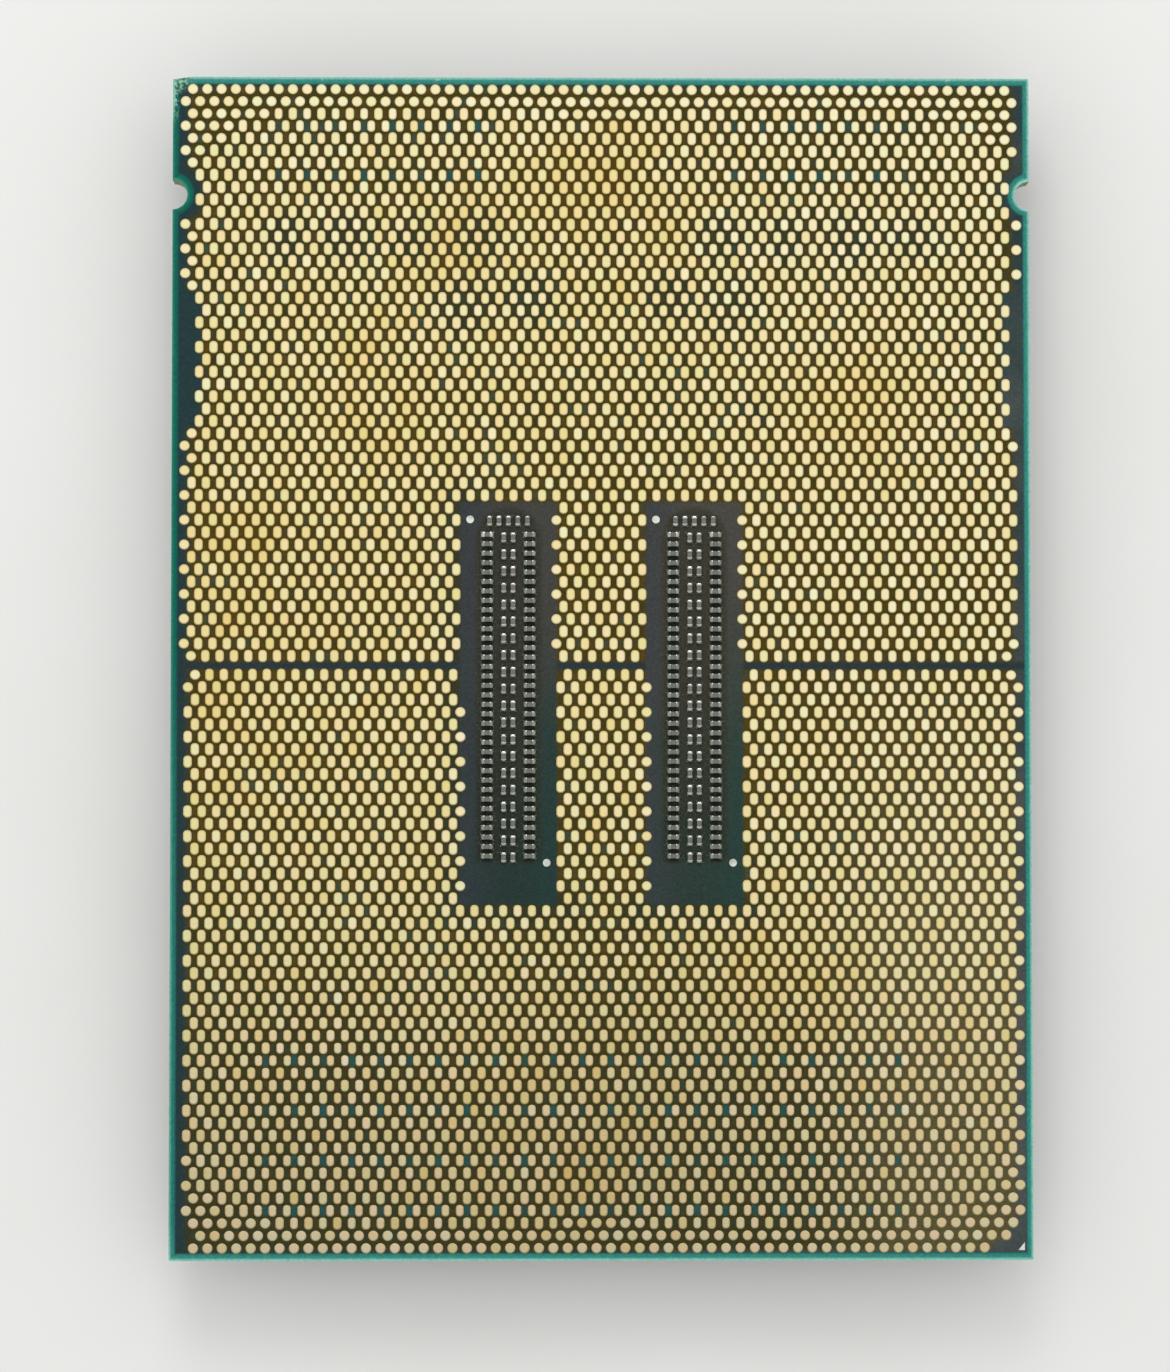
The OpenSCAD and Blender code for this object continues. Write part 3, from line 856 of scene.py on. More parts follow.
off_window = graph.minus(graph.size_of(across), window_across)
from_window = graph.size_of(off_window)
right_of = graph.product(off_window, graph.calc("SIGN", across))
in_window = graph.product(
    graph.under(from_window, WINDOW_HALF, ZONE_SOFT), graph.within(along, window_foot, window_top, ZONE_SOFT)
)
height = graph.scaled(grain["Clouds"], TURN_CLOUDS, along)
upper = graph.rise(height, *FOOT_TO_TOP)
window_tone = graph.mix(upper, WINDOW_FOOT_TONE, WINDOW_TOP_TONE)
bluish = graph.product(graph.rise(right_of, 0, -WINDOW_HALF), BLUE_WEIGHT)
window_tone = graph.mix(bluish, window_tone, BLUE_SIDE)
greenish = graph.product(graph.rise(right_of, GREEN_START, WINDOW_HALF), graph.rise(height, *GREEN_ALONG))
window_tone = graph.mix(graph.product(greenish, GREEN_WEIGHT), window_tone, GREEN_SIDE)
past_top = graph.largest(graph.minus(along, PATCH_TOP - PATCH_HALF), 0.0)
from_line = graph.diagonal(from_window, past_top)
in_patch = graph.product(
    graph.under(from_line, PATCH_HALF, ZONE_SOFT), graph.over(along, PATCH_FOOT, ZONE_SOFT)
)
window_tone = graph.mix(in_patch, window_tone, graph.mix(upper, PATCH_FOOT_TONE, PATCH_TOP_TONE))
window_tone = graph.tinted(graph.rise(across, *LEFT_TO_RIGHT), window_tone, RIGHT_WINDOW)
print("windows", 2 * WINDOW_HALF, "mm wide, with patches of", 2 * PATCH_HALF, "mm")

# %% Mask, fourth layer: sides, bare stretches and the strip between the banks
SIDE_BLUE, SIDE_GREY = tone(35, 57, 59), tone(74, 80, 79)
SIDE_LEAN = (0.012, -0.006)  # for each mm across and along, how the sides turn from blue to grey
SIDE_LIMITS = (0.5, 1.1)  # of that and the clouds together, from blue to grey
FIELD_RISE = (0.7, 1.5)  # mm from the outline, where the field begins
END_FIELD = 1.8  # at the ends it begins sooner, so distances count for more
BARE_CORNER = (3.2, 4.0)  # mm, both distances from the marked corner together
BARE_REACH = (2.2, 1.7)  # mm from the side, where a bare stretch ends
NEAR_WINDOW, NEAR_WEIGHT = (2.4, 0.2), 0.7  # mm from a window, where the field grows darker, and how much
FOOT_RISE = 1  # mm above the foot of a window, where that begins below it
BANK_STRIP = (0.05, 0.45)  # mm from the middle line
BANK_STRIP_TONE = tone(40, 54, 58)

lean = graph.scaled(across, SIDE_LEAN[0], graph.product(along, SIDE_LEAN[1]))
greyer = graph.rise(graph.calc("ADD", lean, grain["Clouds"]), *SIDE_LIMITS)
side_tone = graph.mix(greyer, SIDE_BLUE, SIDE_GREY)
ends = graph.product(board["Before"], END_FIELD)
inland = graph.rise(graph.smallest(board["Beside"], ends, board["Notch"]), *FIELD_RISE)
from_mark = graph.calc("ADD", graph.minus(half_width, across), graph.calc("ADD", half_length, along))
bare = graph.product(graph.within(along, *bare_stretch, ZONE_SOFT), graph.rise(board["Beside"], *BARE_REACH))
inland = graph.product(inland, graph.rise(from_mark, *BARE_CORNER), graph.minus(1.0, bare))

above, below = graph.minus(along, window_top), graph.minus(window_foot, along)
past_window = graph.largest(graph.minus(from_window, WINDOW_HALF), above, below)
left_or_below = graph.largest(
    graph.rise(below, -FOOT_RISE, 0), graph.rise(across, -window_across, -window_across - WINDOW_HALF)
)
dark_rim = graph.product(graph.rise(past_window, *NEAR_WINDOW), left_or_below, NEAR_WEIGHT)
field_tone = graph.mix(dark_rim, field_tone, CLUSTER_TONE)
mask_tone = graph.mix(inland, side_tone, field_tone)
off_strip = graph.rise(graph.size_of(along), *BANK_STRIP)
mask_tone = graph.mix(off_strip, BANK_STRIP_TONE, mask_tone)
mask_tone = graph.mix(in_window, mask_tone, window_tone)
print("mask has", len(graph.tree.nodes), "nodes so far")

# %% [markdown]
# ## Solder mask: the teal spots of the signal rows
# In every fourth row near both ends, every second gap between lands shows a short strip of bare teal
# laminate: there the copper is cut away round a pair of signal lands. The strips follow the lattice, so
# their places are found with the pitch and the row height, folded with a rounding node. Noise lets some
# strips show less than others.

# %% Mask, fifth layer: teal spots
SPOT_TONE = tone(38, 82, 78)
SPOT_ROWS = 4  # rows from one row of spots to the next
SPOT_ROW = 43  # one of those rows, counted from the middle
SPOT_GAPS = 2  # gaps from one spot to the next
SPOT_START = 0.25  # share of that distance, from the shift to a spot
SPOT_HALF = (0.2, 0.36)  # mm, half width and half length
SPOT_SOFT = (0.08, 0.12)  # mm
SPOT_ZONES = (  # bank, first and last row, left and right limit in mm
    (1, 37.5, 44.5, -22.3, -7.2), (1, 37.5, 44.5, 7.2, 20.3), (-1, 29.5, 44.5, -22.9, 20.3),
)
FADING_SIZE = 1.6  # mm
FADING_LIMITS = (0.35, 0.6)  # of that noise, from faint to strong
FADING = (0.45, 0.45)  # gain with it, and the least

pair_width, turn_height = SPOT_GAPS * pitch, SPOT_ROWS * row_height
spots = []
for bank, row_from, row_to, left, right in SPOT_ZONES:
    row = graph.calc("DIVIDE", graph.scaled(along, bank, -first_row), row_height)
    turn = graph.scaled(row, 1 / SPOT_ROWS, -SPOT_ROW / SPOT_ROWS)
    pair = graph.scaled(across, bank / pair_width, SPOT_START - shift / pair_width)
    off_pair = graph.product(off_nearest(graph, pair), pair_width)
    off_turn = graph.product(off_nearest(graph, turn), turn_height)
    strip = [graph.under(*part) for part in zip((off_pair, off_turn), SPOT_HALF, SPOT_SOFT)]
    zone = graph.within(row, row_from, row_to, ZONE_SOFT), graph.within(across, left, right, ZONE_SOFT)
    spots.append(graph.product(*strip, *zone))
fading = graph.scaled(graph.rise(graph.noise(here, FADING_SIZE), *FADING_LIMITS), *FADING)
mask_tone = graph.mix(graph.product(graph.largest(*spots), fading), mask_tone, SPOT_TONE)
print(len(spots), "zones of spots, one in", round(pair_width, 2), "mm and", round(turn_height, 2), "mm")

# %% [markdown]
# ## Solder mask: border and wear
# The copper planes stop short of the outline, so the board shows its own teal in a narrow border; the light
# line at the cut edge is a painted highlight. The border is deep green on one long side and faded on the
# others; at the notched end its lighter tone is painted light from that side. Handling has scuffed one
# corner to a mottled mint and nicked the notched end in a few places. The distance group gives the border,
# and noise breaks up the scuffs so that they don't look stamped.

# %% Mask, sixth layer: border
# the first stop of each border ramp, at the outline, is a painted highlight along the cut edge
BORDER_FRESH_AND_HIGHLIGHT = (  # mm from the outline, and tone
    (0.00, tone(66, 142, 124)), (0.07, tone(36, 122, 102)), (0.16, tone(18, 104, 86)),
    (0.34, tone(16, 90, 80)), (0.46, tone(26, 62, 66)),
)
# faded border, and painted light towards the notched end; its first stop is the painted edge highlight
BORDER_FADED_LIT_AND_HIGHLIGHT = (
    (0.00, tone(140, 200, 186)), (0.09, tone(116, 182, 170)), (0.17, tone(60, 138, 126)),
    (0.36, tone(44, 124, 114)), (0.46, tone(36, 72, 76)),
)
BORDER_WIDTH = 0.46  # mm
BORDER_SOFT = 0.06  # mm
FADE_SIDES = (4.0, 0.5)  # mm from the faded long side and the plain end
LIT_END = (1.2, 0.4)  # mm from the notched end, where the border is lighter by painted light
FADE_ALONG, FADE_WEIGHT = (5.0, -20.0), 0.5  # mm, where the green side turns teal, and how much

to_side = graph.calc("ADD", across, half_width)
to_far_side = graph.minus(half_width, across)
to_end = graph.minus(half_length, along)
to_plain_end = graph.calc("ADD", half_length, along)
# faded on the far side and the plain end, painted light at the notched end
faded_and_lit = graph.largest(
    graph.rise(graph.smallest(to_far_side, to_plain_end), *FADE_SIDES),
    graph.rise(to_end, *LIT_END),
    graph.product(graph.rise(along, *FADE_ALONG), FADE_WEIGHT),
)
border = board["Border"]
border_tone = graph.mix(faded_and_lit, graph.ramp(border, BORDER_FRESH_AND_HIGHLIGHT), graph.ramp(border, BORDER_FADED_LIT_AND_HIGHLIGHT))
mask_tone = graph.mix(graph.under(border, BORDER_WIDTH, BORDER_SOFT), mask_tone, border_tone)
print("border", BORDER_WIDTH, "mm wide,", round(BORDER_WIDTH / END_BORDER, 2), "mm at the ends")

# %% Mask, seventh layer: scuffed corner and nicks
MINT_DARK, MINT_LIGHT = tone(48, 98, 80), tone(140, 192, 170)
MOTTLE_SIZE, MOTTLE_DETAIL = 0.2, 3.0  # mm, and finer steps of the noise
MINT_LIMITS = (0.4, 0.62)  # of the mottle, from dark to light
CORNER_REACH = (1.5, 0.6)  # mm from the corner, where the scuffs fade
CORNER_EDGE = (1.1, 0.5)  # mm from the outline, where they fade too
SIDE_SCUFFS = (0.5, 0.2)  # mm from the long side, a strip of lighter scuffs
SIDE_BREAKS = (0.45, 0.6)  # of the mottle, from clear to scuffed
LINE_WIDTH = (0.16, 0.04)  # mm, the worn line down the side
LINE_END, LINE_SOFT = 36.5, 1  # mm along, where that line fades
NICKS = (-18.3, -10.8, 18.5, 22.9)  # mm across, along the notched end
NICK_HALF, NICK_DEPTH = (0.24, 0.1), (0.3, 0.12)  # mm, from clear to worn
NICK_BREAKS = (0.3, 0.5)  # of the mottle, from clear to worn

mottle = graph.noise(here, MOTTLE_SIZE, MOTTLE_DETAIL)
near_end = graph.over(along, LINE_END, LINE_SOFT)
in_corner = graph.product(
    graph.rise(graph.diagonal(to_side, to_end), *CORNER_REACH), graph.rise(board["Edge"], *CORNER_EDGE)
)
by_side = graph.product(graph.rise(to_side, *SIDE_SCUFFS), near_end, graph.rise(mottle, *SIDE_BREAKS))
mint = graph.mix(graph.rise(mottle, *MINT_LIMITS), MINT_DARK, MINT_LIGHT)
mask_tone = graph.mix(graph.largest(in_corner, by_side), mask_tone, mint)
worn = [graph.product(graph.rise(to_side, *LINE_WIDTH), near_end)]
for nick in NICKS:
    off_nick = graph.size_of(graph.minus(across, nick))
    chip = graph.product(graph.rise(off_nick, *NICK_HALF), graph.rise(to_end, *NICK_DEPTH))
    worn.append(graph.product(chip, graph.rise(mottle, *NICK_BREAKS)))
mask_tone = graph.mix(graph.largest(*worn), mask_tone, MINT_LIGHT)
print(len(NICKS), "nicks and one scuffed corner")

# %% [markdown]
# ## Solder mask: under the chips, speckle and texture
# Between the chips of a column the mask lies in their shade, and round them it is flecked with flux and
# dust. Over everything lies the fine speckle of the film. All three are too small to model, so they are
# noise and a strip.

# %% Mask, last layer: shade, flecks and speckle
CHIP_SHADE = tone(30, 35, 30)
CHIP_STRIP = (0.4, 0.24)  # mm from the middle of a column of chips, from clear to dark
FLECK_TONE, FLECK_WEIGHT = tone(88, 90, 82), 0.5
FLECK_SIZE, FLECK_DETAIL = 0.16, 1.0  # mm, and finer steps of the noise
FLECK_LIMITS = (0.62, 0.72)  # of the noise, from clear to fleck
SPECKLE_DARK, SPECKLE_LIGHT = (0.82, 0.82, 0.82, 1), (1.14, 1.14, 1.12, 1)
WIDE_SPREAD = (0.3, 0.7)  # noise keeps near 0.5, so this middle part is spread from none to full
MASK_ROUGHNESS = (0.2, 0.4)  # gain with the noise, and the least
MASK_RELIEF = (0.2, 0.01)  # strength, and depth in mm


def dress(material, *names):
    """Puts a finish on nodes that keep their own mesh."""
    for name in names:
        nodes[name].data.materials.clear()
        nodes[name].data.materials.append(material)


off_column = graph.size_of(graph.minus(from_window, column_off))
beside_chips = graph.within(along, PATCH_FOOT, PATCH_TOP - PATCH_HALF, ZONE_SOFT)
shade = graph.product(graph.rise(off_column, *CHIP_STRIP), in_patch, beside_chips, in_window)
mask_tone = graph.mix(shade, mask_tone, CHIP_SHADE)
flecks = graph.rise(graph.noise(here, FLECK_SIZE, FLECK_DETAIL), *FLECK_LIMITS)
mask_tone = graph.mix(graph.product(flecks, in_patch, in_window, FLECK_WEIGHT), mask_tone, FLECK_TONE)
speckle = graph.mix(graph.rise(grain["Grain"], *WIDE_SPREAD), SPECKLE_DARK, SPECKLE_LIGHT)
mask_tone = graph.tinted(1.0, mask_tone, speckle)
cover(graph, shader, mask_tone, (grain["Clouds"], *MASK_ROUGHNESS), (grain["Grain"], *MASK_RELIEF))
dress(mask_finish, "mask_land_side")
print("land_side_mask has", len(graph.tree.nodes), "nodes")

# %% [markdown]
# ## Capacitors
# Each window holds rows of chip capacitors: a grey ceramic block with a tinned cap on both ends, soldered
# to the board. A block alone would do from a distance, but the light catches the rounded rims of the caps
# and the slope of solder at their feet. Chips that lie across the window have longer feet, and their ends,
# which face across the light, get painted shade that makes their tin darker than that of chips that stand
# along it. The body and both kinds of end are modelled once each, with the outer side of an end facing +X,
# and copies are turned by quarter turns to face away from the body that they belong to.

# %% Model one ceramic body and the two kinds of tinned end
LYING_REACH, STANDING_REACH = 0.1, 0.03  # mm, how far the solder slopes out from the end
SOLDER_DROP = 0.7  # share of the height that the slope falls
SOLDER_FLARE = 1.3  # how much wider the foot of the solder is than the end
BODY_RIM, END_RIM = 0.015, 0.09  # mm
RIM_STEPS = 2
TOUCH = 1e-4  # mm, edges closer to a face than this lie on it

end_sites = {side: solids(side + "_capacitor_ends") for side in ("left", "right")}


def chip_size(sites):
    """Short side, long side, foot and crown of a chip piece, in mm."""
    middles, sizes = sites
    short, long = np.sort(sizes[:, :2], axis=1).mean(axis=0)
    foot = (middles[:, 2] - sizes[:, 2] / 2).min()
    crown = (middles[:, 2] + sizes[:, 2] / 2).max()
    return short, long, foot, crown


def ceramic_body():
    short, long, foot, crown = chip_size(body_sites["left"])
    piece = start_block("ceramic_body", (-long / 2, -short / 2, foot), (long / 2, short / 2, crown))
    bpy.ops.object.mode_set(mode="EDIT")
    pick(piece, "EDGE", lambda middle, way: middle.z > crown - TOUCH and abs(way.x) > FACING)
    bpy.ops.mesh.bevel(offset=BODY_RIM, segments=RIM_STEPS, affect="EDGES")
    bpy.ops.object.mode_set(mode="OBJECT")
    return piece


def tinned_end(name, reach):
    short, long, foot, crown = chip_size(end_sites["left"])
    piece = start_block(name, (-short / 2, -long / 2, foot), (short / 2, long / 2, crown))
    tip = short / 2 + reach
    bpy.ops.object.mode_set(mode="EDIT")
    pick(piece, "FACE", lambda middle, way: way.x > FACING)
    bpy.ops.mesh.extrude_region_move(TRANSFORM_OT_translate={"value": (reach, 0, 0)})
    pick(piece, "EDGE", lambda middle, way: middle.x > tip - TOUCH and middle.z > crown - TOUCH)
    bpy.ops.transform.translate(value=(0, 0, (foot - crown) * SOLDER_DROP))
    pick(piece, "EDGE", lambda middle, way: middle.x > tip - TOUCH and middle.z < foot + TOUCH)
    bpy.ops.transform.resize(value=(1, SOLDER_FLARE, 1), center_override=(tip, 0, foot))
    pick(piece, "EDGE", lambda middle, way: middle.z > (foot + crown) / 2 and middle.x > -short / 2 + TOUCH)
    bpy.ops.mesh.bevel(offset=END_RIM, segments=RIM_STEPS, affect="EDGES")
    bpy.ops.object.mode_set(mode="OBJECT")
    return piece


body_shape = ceramic_body()
end_shapes = tinned_end("lying_end", LYING_REACH), tinned_end("standing_end", STANDING_REACH)
print("faces of body and ends:", [len(shape.data.polygons) for shape in (body_shape, *end_shapes)])

# %% Make the ceramic and tin finishes
CERAMIC_DARK, CERAMIC_LIGHT = tone(95, 96, 89), tone(120, 120, 111)
CERAMIC_ROUGHNESS, CERAMIC_RELIEF = (0.2, 0.4), (0.3, 0.01)
TIN_DARK, TIN_LIGHT = tone(160, 164, 156), tone(196, 200, 190)
# painted shade on the tin of ends that face across the light
TIN_PAINTED_SHADE = (0.6, 0.63, 0.595, 1)
TIN_ROUGHNESS, TIN_RELIEF = (0.2, 0.2), (0.4, 0.01)

ceramic, graph, shader = new_finish("fired_ceramic", Specular_IOR_Level=0.3)
grain = graph.group(surface_grain, Grain_Size=0.06, Cloud_Size=1.2)
fired = graph.mix(graph.rise(grain["Grain"], *WIDE_SPREAD), CERAMIC_DARK, CERAMIC_LIGHT)
cover(graph, shader, fired, (grain["Clouds"], *CERAMIC_ROUGHNESS), (grain["Grain"], *CERAMIC_RELIEF))

tin, graph, shader = new_finish("matte_tin", Metallic=1.0)
grain = graph.group(surface_grain, Grain_Size=0.05, Cloud_Size=0.8)
plated = graph.mix(graph.rise(grain["Clouds"], *WIDE_SPREAD), TIN_DARK, TIN_LIGHT)
# the dull attribute marks ends that face across the light; their tin gets painted shade
dull = graph.node("Attribute", attribute_name="dull").outputs["Fac"]
plated = graph.tinted(dull, plated, TIN_PAINTED_SHADE)
cover(graph, shader, plated, (grain["Grain"], *TIN_ROUGHNESS), (grain["Grain"], *TIN_RELIEF))
print("finishes:", ceramic.name, tin.name)

# %% Set the capacitors of both windows
for side in ("left", "right"):
    bodies, sizes = body_sites[side]
    turned = [0 if size[0] > size[1] else 1 for size in sizes]
    shapes = [body_shape] * len(bodies)
    piece = set_copies(side + "_capacitor_bodies_ceramic", shapes, on_board(bodies), turned)
    finish_piece(piece, ceramic, "ceramic", side + "_capacitor_bodies")
    ends = end_sites[side][0]
    ways = [end - bodies[np.linalg.norm(bodies - end, axis=1).argmin()] for end in ends]
    facing = [round(math.atan2(way[1], way[0]) / QUARTER_TURN) for way in ways]
    shapes = [end_shapes[turn % 2] for turn in facing]
    piece = set_copies(side + "_capacitor_ends_tin", shapes, on_board(ends), facing)
    faces = len(end_shapes[0].data.polygons)
    # 1 for ends that face across the light, whose tin gets painted shade
    face_numbers(piece, "dull", [float(turn % 2 == 0) for turn in facing for face in range(faces)])
    finish_piece(piece, tin, "tin", side + "_capacitor_ends")
    print(side, "window:", len(bodies), "bodies,", len(ends), "ends")
for shape in (body_shape, *end_shapes):
    bpy.data.objects.remove(shape)

# %% [markdown]
# ## Alignment dots and corner mark
# Four round dots beside the capacitors and a small triangle in one corner are bare plated copper, for the
# cameras of the assembly line. Their solids already have the right outline, so only a pale, slightly
# mottled metal is added.

# %% Finish the dots and the corner mark
MARK_DARK, MARK_LIGHT = tone(178, 188, 176), tone(228, 232, 220)
MARK_SPREAD = (0.25, 0.6)  # of the clouds, from dark to light
MARK_ROUGHNESS, MARK_RELIEF = (0.2, 0.35), (0.3, 0.01)

pale_plate, graph, shader = new_finish("pale_plating", Metallic=0.6)
grain = graph.group(surface_grain, Grain_Size=0.09, Cloud_Size=0.6)
mottled = graph.mix(graph.rise(grain["Clouds"], *MARK_SPREAD), MARK_DARK, MARK_LIGHT)
cover(graph, shader, mottled, (grain["Grain"], *MARK_ROUGHNESS), (grain["Grain"], *MARK_RELIEF))
dress(pale_plate, "fiducials", "corner_mark")
print("dots and mark dressed in", pale_plate.name)

# %% [markdown]
# ## The cut edge of the laminate
# Seen from the side, the board is a sandwich: a core of glass cloth in resin, and on both faces a stack of
# thin build-up films. Sawing leaves the glass bundles as short pale dashes in tan resin. Noise that is
# stretched along the board and squeezed through its thickness gives such dashes without drawing them one by
# one.

# %% Finish the core and the build-up layers
CORE_RESIN, CORE_GLASS = tone(124, 118, 80), tone(150, 144, 104)
BUILD_UP_DARK, BUILD_UP_LIGHT = tone(34, 92, 82), tone(74, 138, 122)
DASH_DETAIL = 3.0
DASH_LIMITS = (0.4, 0.62)  # of the noise, from resin to glass
LAMINATE_ROUGHNESS, LAMINATE_RELIEF = (0.25, 0.5), (0.4, 0.03)


def stretched(graph, factors):
    """Places in mm, scaled along each axis."""
    made = graph.node("VectorMath", operation="MULTIPLY")
    graph.feed(made.inputs[0], graph.place())
    made.inputs[1].default_value = factors
    return made.outputs[0]


def laminate(name, resin, glass, bundle, layers):
    """Resin with dashes of glass; a bundle is so many mm long, and so many layers make a mm."""
    material, graph, shader = new_finish(name, Specular_IOR_Level=0.25)
    grain = graph.group(surface_grain, Grain_Size=0.05, Cloud_Size=3.0)["Grain"]
    dashes = graph.noise(stretched(graph, (1 / bundle, 1 / bundle, layers)), 1.0, DASH_DETAIL)
    colour = graph.mix(graph.rise(dashes, *DASH_LIMITS), resin, glass)
    cover(graph, shader, colour, (grain, *LAMINATE_ROUGHNESS), (dashes, *LAMINATE_RELIEF))
    return material


glass_core = laminate("glass_core", CORE_RESIN, CORE_GLASS, bundle=2.4, layers=14.0)
build_up_film = laminate("build_up_film", BUILD_UP_DARK, BUILD_UP_LIGHT, bundle=1.6, layers=24.0)
dress(glass_core, "substrate_core")
dress(build_up_film, "buildup_die_side", "buildup_land_side")
print("core and build-up dressed")

# %% [markdown]
# ## Solder mask of the lid side
# The other side of the board shows only a narrow frame round the lid. It has the same film, greener because
# there are no lands, with the same teal border and its painted highlight along the cut edge, which the
# shared distance group gives.

# %% Finish the lid-side mask
LID_SIDE_DARK, LID_SIDE_LIGHT = tone(26, 66, 60), tone(40, 84, 74)
NARROW_SPREAD = (0.35, 0.65)  # of the noise, from dark to light
LID_SIDE_ROUGHNESS, LID_SIDE_RELIEF = (0.2, 0.35), (0.2, 0.01)

lid_side_mask, graph, shader = new_finish("lid_side_mask", Specular_IOR_Level=0.25)
edge = graph.group(board_edge)["Edge"]
grain = graph.group(surface_grain, Grain_Size=0.12, Cloud_Size=6.0)
film = graph.mix(graph.rise(grain["Clouds"], *NARROW_SPREAD), LID_SIDE_DARK, LID_SIDE_LIGHT)
# the border ramp starts with a painted highlight along the cut edge
film = graph.mix(graph.under(edge, BORDER_WIDTH, BORDER_SOFT), film, graph.ramp(edge, BORDER_FRESH_AND_HIGHLIGHT))
cover(graph, shader, film, (grain["Clouds"], *LID_SIDE_ROUGHNESS), (grain["Grain"], *LID_SIDE_RELIEF))
dress(lid_side_mask, "mask_die_side")
print("lid_side_mask has", len(graph.tree.nodes), "nodes")

# %% [markdown]
# ## The lid
# The lid is stamped from copper and plated with nickel: a raised face that meets the cooler, a lower flange
# that is glued to the board, and a shallow cavity for the chip. It is modelled from one block at the size
# of the flange. The corners are rounded first, so that each later extrusion takes the same round corners
# with it, and the rims of the flange are bevelled before the steps, while they are still plain outer edges.
# Weighted normals then keep the large faces flat in the light.

# %% Model the lid
FACE_SIZE = (46.5, 61.0)  # mm
FACE_HEIGHT = 2.4  # mm, from the face to the flange
CAVITY_SIZE = (40.0, 58.0)  # mm
CAVITY_DEPTH = 0.75  # mm
FLANGE_CORNER, FLANGE_STEPS = 2.5, 6  # mm, and facets of a corner
FACE_RIM, FLANGE_RIM = 0.3, 0.2  # mm
SMOOTH_ANGLE = 40  # degrees, sharper edges stay sharp

low, high = ([v / MM for v in corner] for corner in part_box("lid"))
flange = (high[0] - low[0], high[1] - low[1])


def step_face(size, height, drop):
    """Shrinks the selected end face to a size and pushes it along Z."""
    bpy.ops.mesh.extrude_region_move(TRANSFORM_OT_translate={"value": (0, 0, 0)})
    shares = [wanted / (whole - 2 * FLANGE_RIM) for wanted, whole in zip(size, flange)] + [1]
    bpy.ops.transform.resize(value=shares, center_override=(0, 0, height))
    bpy.ops.mesh.extrude_region_move(TRANSFORM_OT_translate={"value": (0, 0, drop)})


lid = start_block("lid_nickel", (low[0], low[1], FACE_HEIGHT), high)
bpy.ops.object.mode_set(mode="EDIT")
pick(lid, "EDGE", upright)
bpy.ops.mesh.bevel(offset=FLANGE_CORNER, segments=FLANGE_STEPS, affect="EDGES")
pick(lid, "EDGE", lambda middle, way: not upright(middle, way))
bpy.ops.mesh.bevel(offset=FLANGE_RIM, segments=RIM_STEPS, affect="EDGES")
pick(lid, "FACE", lambda middle, way: way.z < -FACING)
step_face(FACE_SIZE, FACE_HEIGHT, -FACE_HEIGHT)
pick(lid, "FACE", facing_up)
step_face(CAVITY_SIZE, high[2], -CAVITY_DEPTH)
pick(lid, "EDGE", lambda middle, way: middle.z < TOUCH)
bpy.ops.mesh.bevel(offset=FACE_RIM, segments=RIM_STEPS, affect="EDGES")
bpy.ops.object.mode_set(mode="OBJECT")
lid.scale = (MM, MM, MM)
bpy.ops.object.transform_apply(location=True, rotation=True, scale=True)
bpy.ops.object.shade_smooth_by_angle(angle=math.radians(SMOOTH_ANGLE))
lid.modifiers.new("flat_faces", "WEIGHTED_NORMAL").keep_sharp = True
bpy.ops.object.modifier_apply(modifier="flat_faces")
print("lid:", len(lid.data.polygons), "faces")

# %% [markdown]
# ## Nickel
# Nickel plate is a warm grey metal. Rolling and handling leave fine streaks along the lid, which spread its
# reflections a little more one way than the other. A scratched image could give them, but noise that is
# drawn out along the lid does it at every scale, and it drives both the roughness and a faint relief.

# %% Make the nickel finish
NICKEL_DARK, NICKEL_LIGHT = tone(198, 195, 188), tone(208, 205, 198)
STREAKS, STREAK_DETAIL = (6.0, 0.12, 6.0), 4.0  # streaks per mm along each axis
NICKEL_LEAST, NICKEL_CLOUD_GAIN, NICKEL_STREAK_GAIN = 0.2, 0.06, 0.16  # roughness
NICKEL_GRAIN_SHARE = 0.5  # height of the grain against the streaks
NICKEL_RELIEF = (0.12, 0.02)

nickel, graph, shader = new_finish("satin_nickel", Metallic=1.0)
grain = graph.group(surface_grain, Grain_Size=0.25, Cloud_Size=12.0)
streaks = graph.noise(stretched(graph, STREAKS), 1.0, STREAK_DETAIL)
colour = graph.mix(graph.rise(grain["Clouds"], *NARROW_SPREAD), NICKEL_DARK, NICKEL_LIGHT)
cloudy = graph.scaled(grain["Clouds"], NICKEL_CLOUD_GAIN, NICKEL_LEAST)
height = graph.scaled(grain["Grain"], NICKEL_GRAIN_SHARE, streaks)
cover(graph, shader, colour, (streaks, NICKEL_STREAK_GAIN, cloudy), (height, *NICKEL_RELIEF))
finish_piece(lid, nickel, "nickel", "lid")
print("satin_nickel has", len(graph.tree.nodes), "nodes")

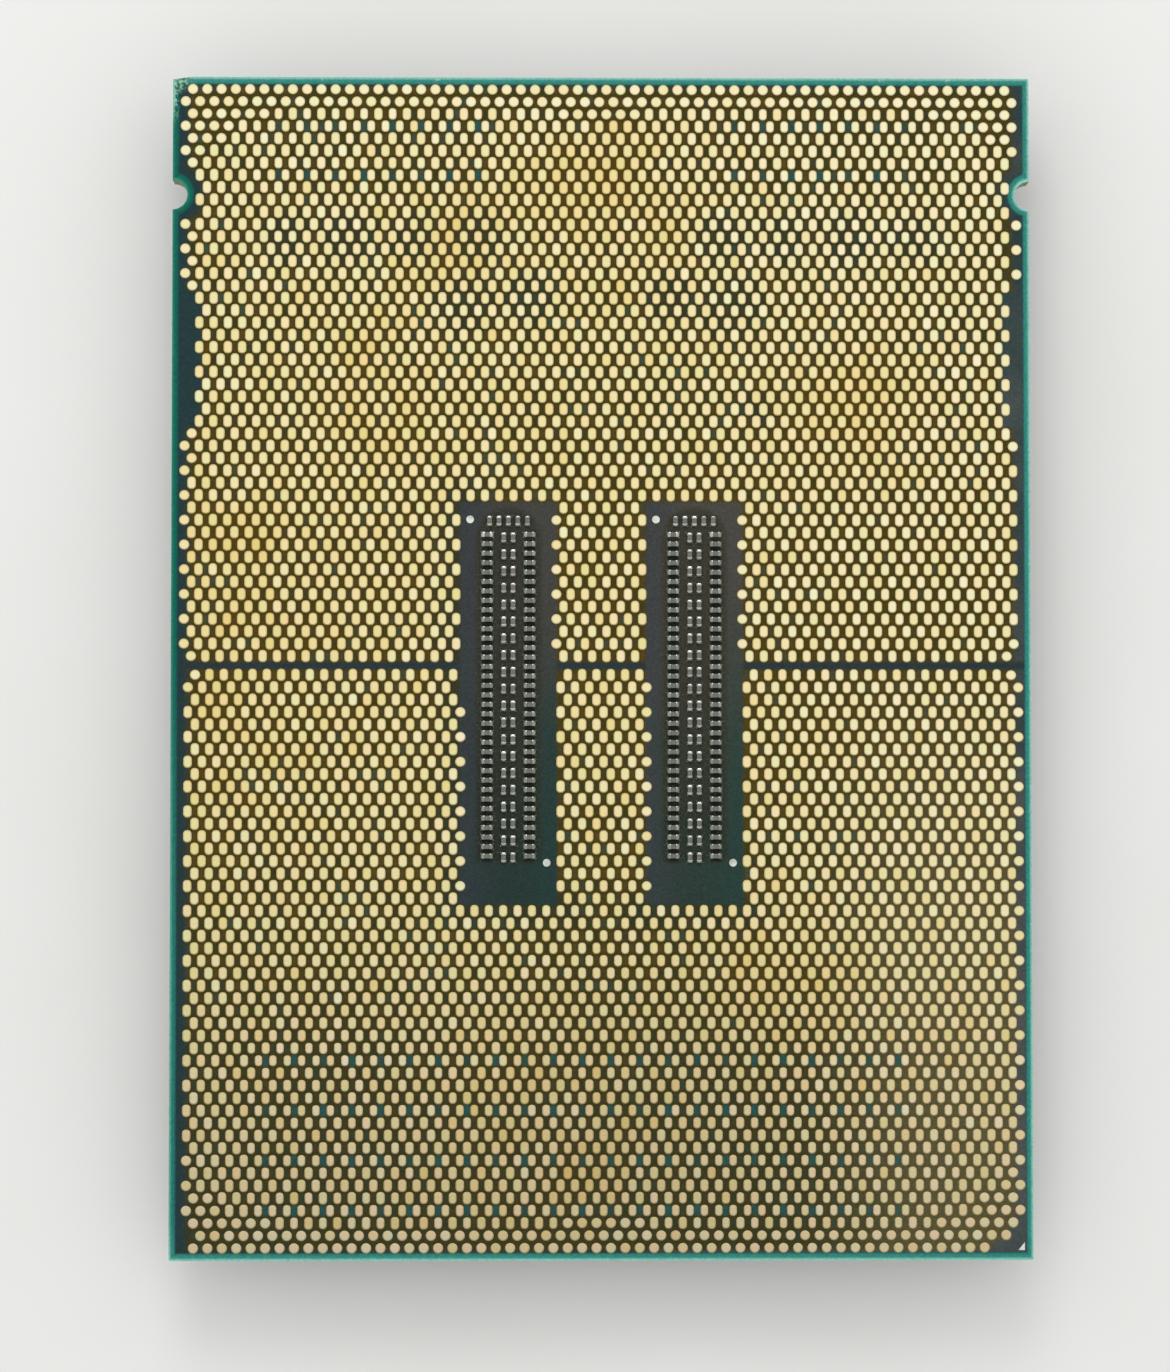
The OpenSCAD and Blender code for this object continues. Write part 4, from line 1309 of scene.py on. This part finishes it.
# %% [markdown]
# ## Under the lid
# The chip, the soft metal between chip and lid, the resin under the chip, the small capacitors beside it
# and the bead of sealant can only be seen with the lid off. They keep their solids and get plain, true
# finishes: one short function serves all of them, because they differ only in tones, grain and gloss.

# %% Finish the hidden pieces
HIDDEN_CLOUDS = 20  # size of the clouds against the grain
HIDDEN_SHARE = 0.5  # grain and clouds count alike
HIDDEN_ROUGHNESS_GAIN = 0.2
HIDDEN_DEPTH = 0.02  # mm


def hidden_finish(name, dark, light, grain_size, rough, relief, **plain):
    material, graph, shader = new_finish(name, **plain)
    grain = graph.group(surface_grain, Grain_Size=grain_size, Cloud_Size=grain_size * HIDDEN_CLOUDS)
    both = graph.scaled(grain["Grain"], HIDDEN_SHARE, graph.product(grain["Clouds"], HIDDEN_SHARE))
    colour = graph.mix(graph.rise(both, *NARROW_SPREAD), dark, light)
    roughness = (grain["Grain"], HIDDEN_ROUGHNESS_GAIN, rough)
    cover(graph, shader, colour, roughness, (grain["Grain"], relief, HIDDEN_DEPTH))
    return material


sealant = hidden_finish(
    "black_sealant", tone(24, 24, 25), tone(40, 40, 41),
    grain_size=0.3, rough=0.5, relief=0.4,
)
silicon = hidden_finish(
    "silicon", tone(62, 64, 72), tone(78, 80, 88),
    grain_size=0.4, rough=0.1, relief=0.05, Metallic=0.5,
)
soft_solder = hidden_finish(
    "soft_solder", tone(170, 170, 172), tone(196, 196, 198),
    grain_size=0.2, rough=0.3, relief=0.3, Metallic=1.0,
)
underfill = hidden_finish(
    "underfill_resin", tone(36, 38, 46), tone(52, 54, 62),
    grain_size=0.2, rough=0.25, relief=0.2,
)
dress(sealant, "lid_sealant")
dress(silicon, "die")
dress(soft_solder, "thermal_interface")
dress(underfill, "underfill")
dress(ceramic, "die_capacitor_bodies")
dress(tin, "die_capacitor_ends")
print("hidden pieces dressed")

# %% [markdown]
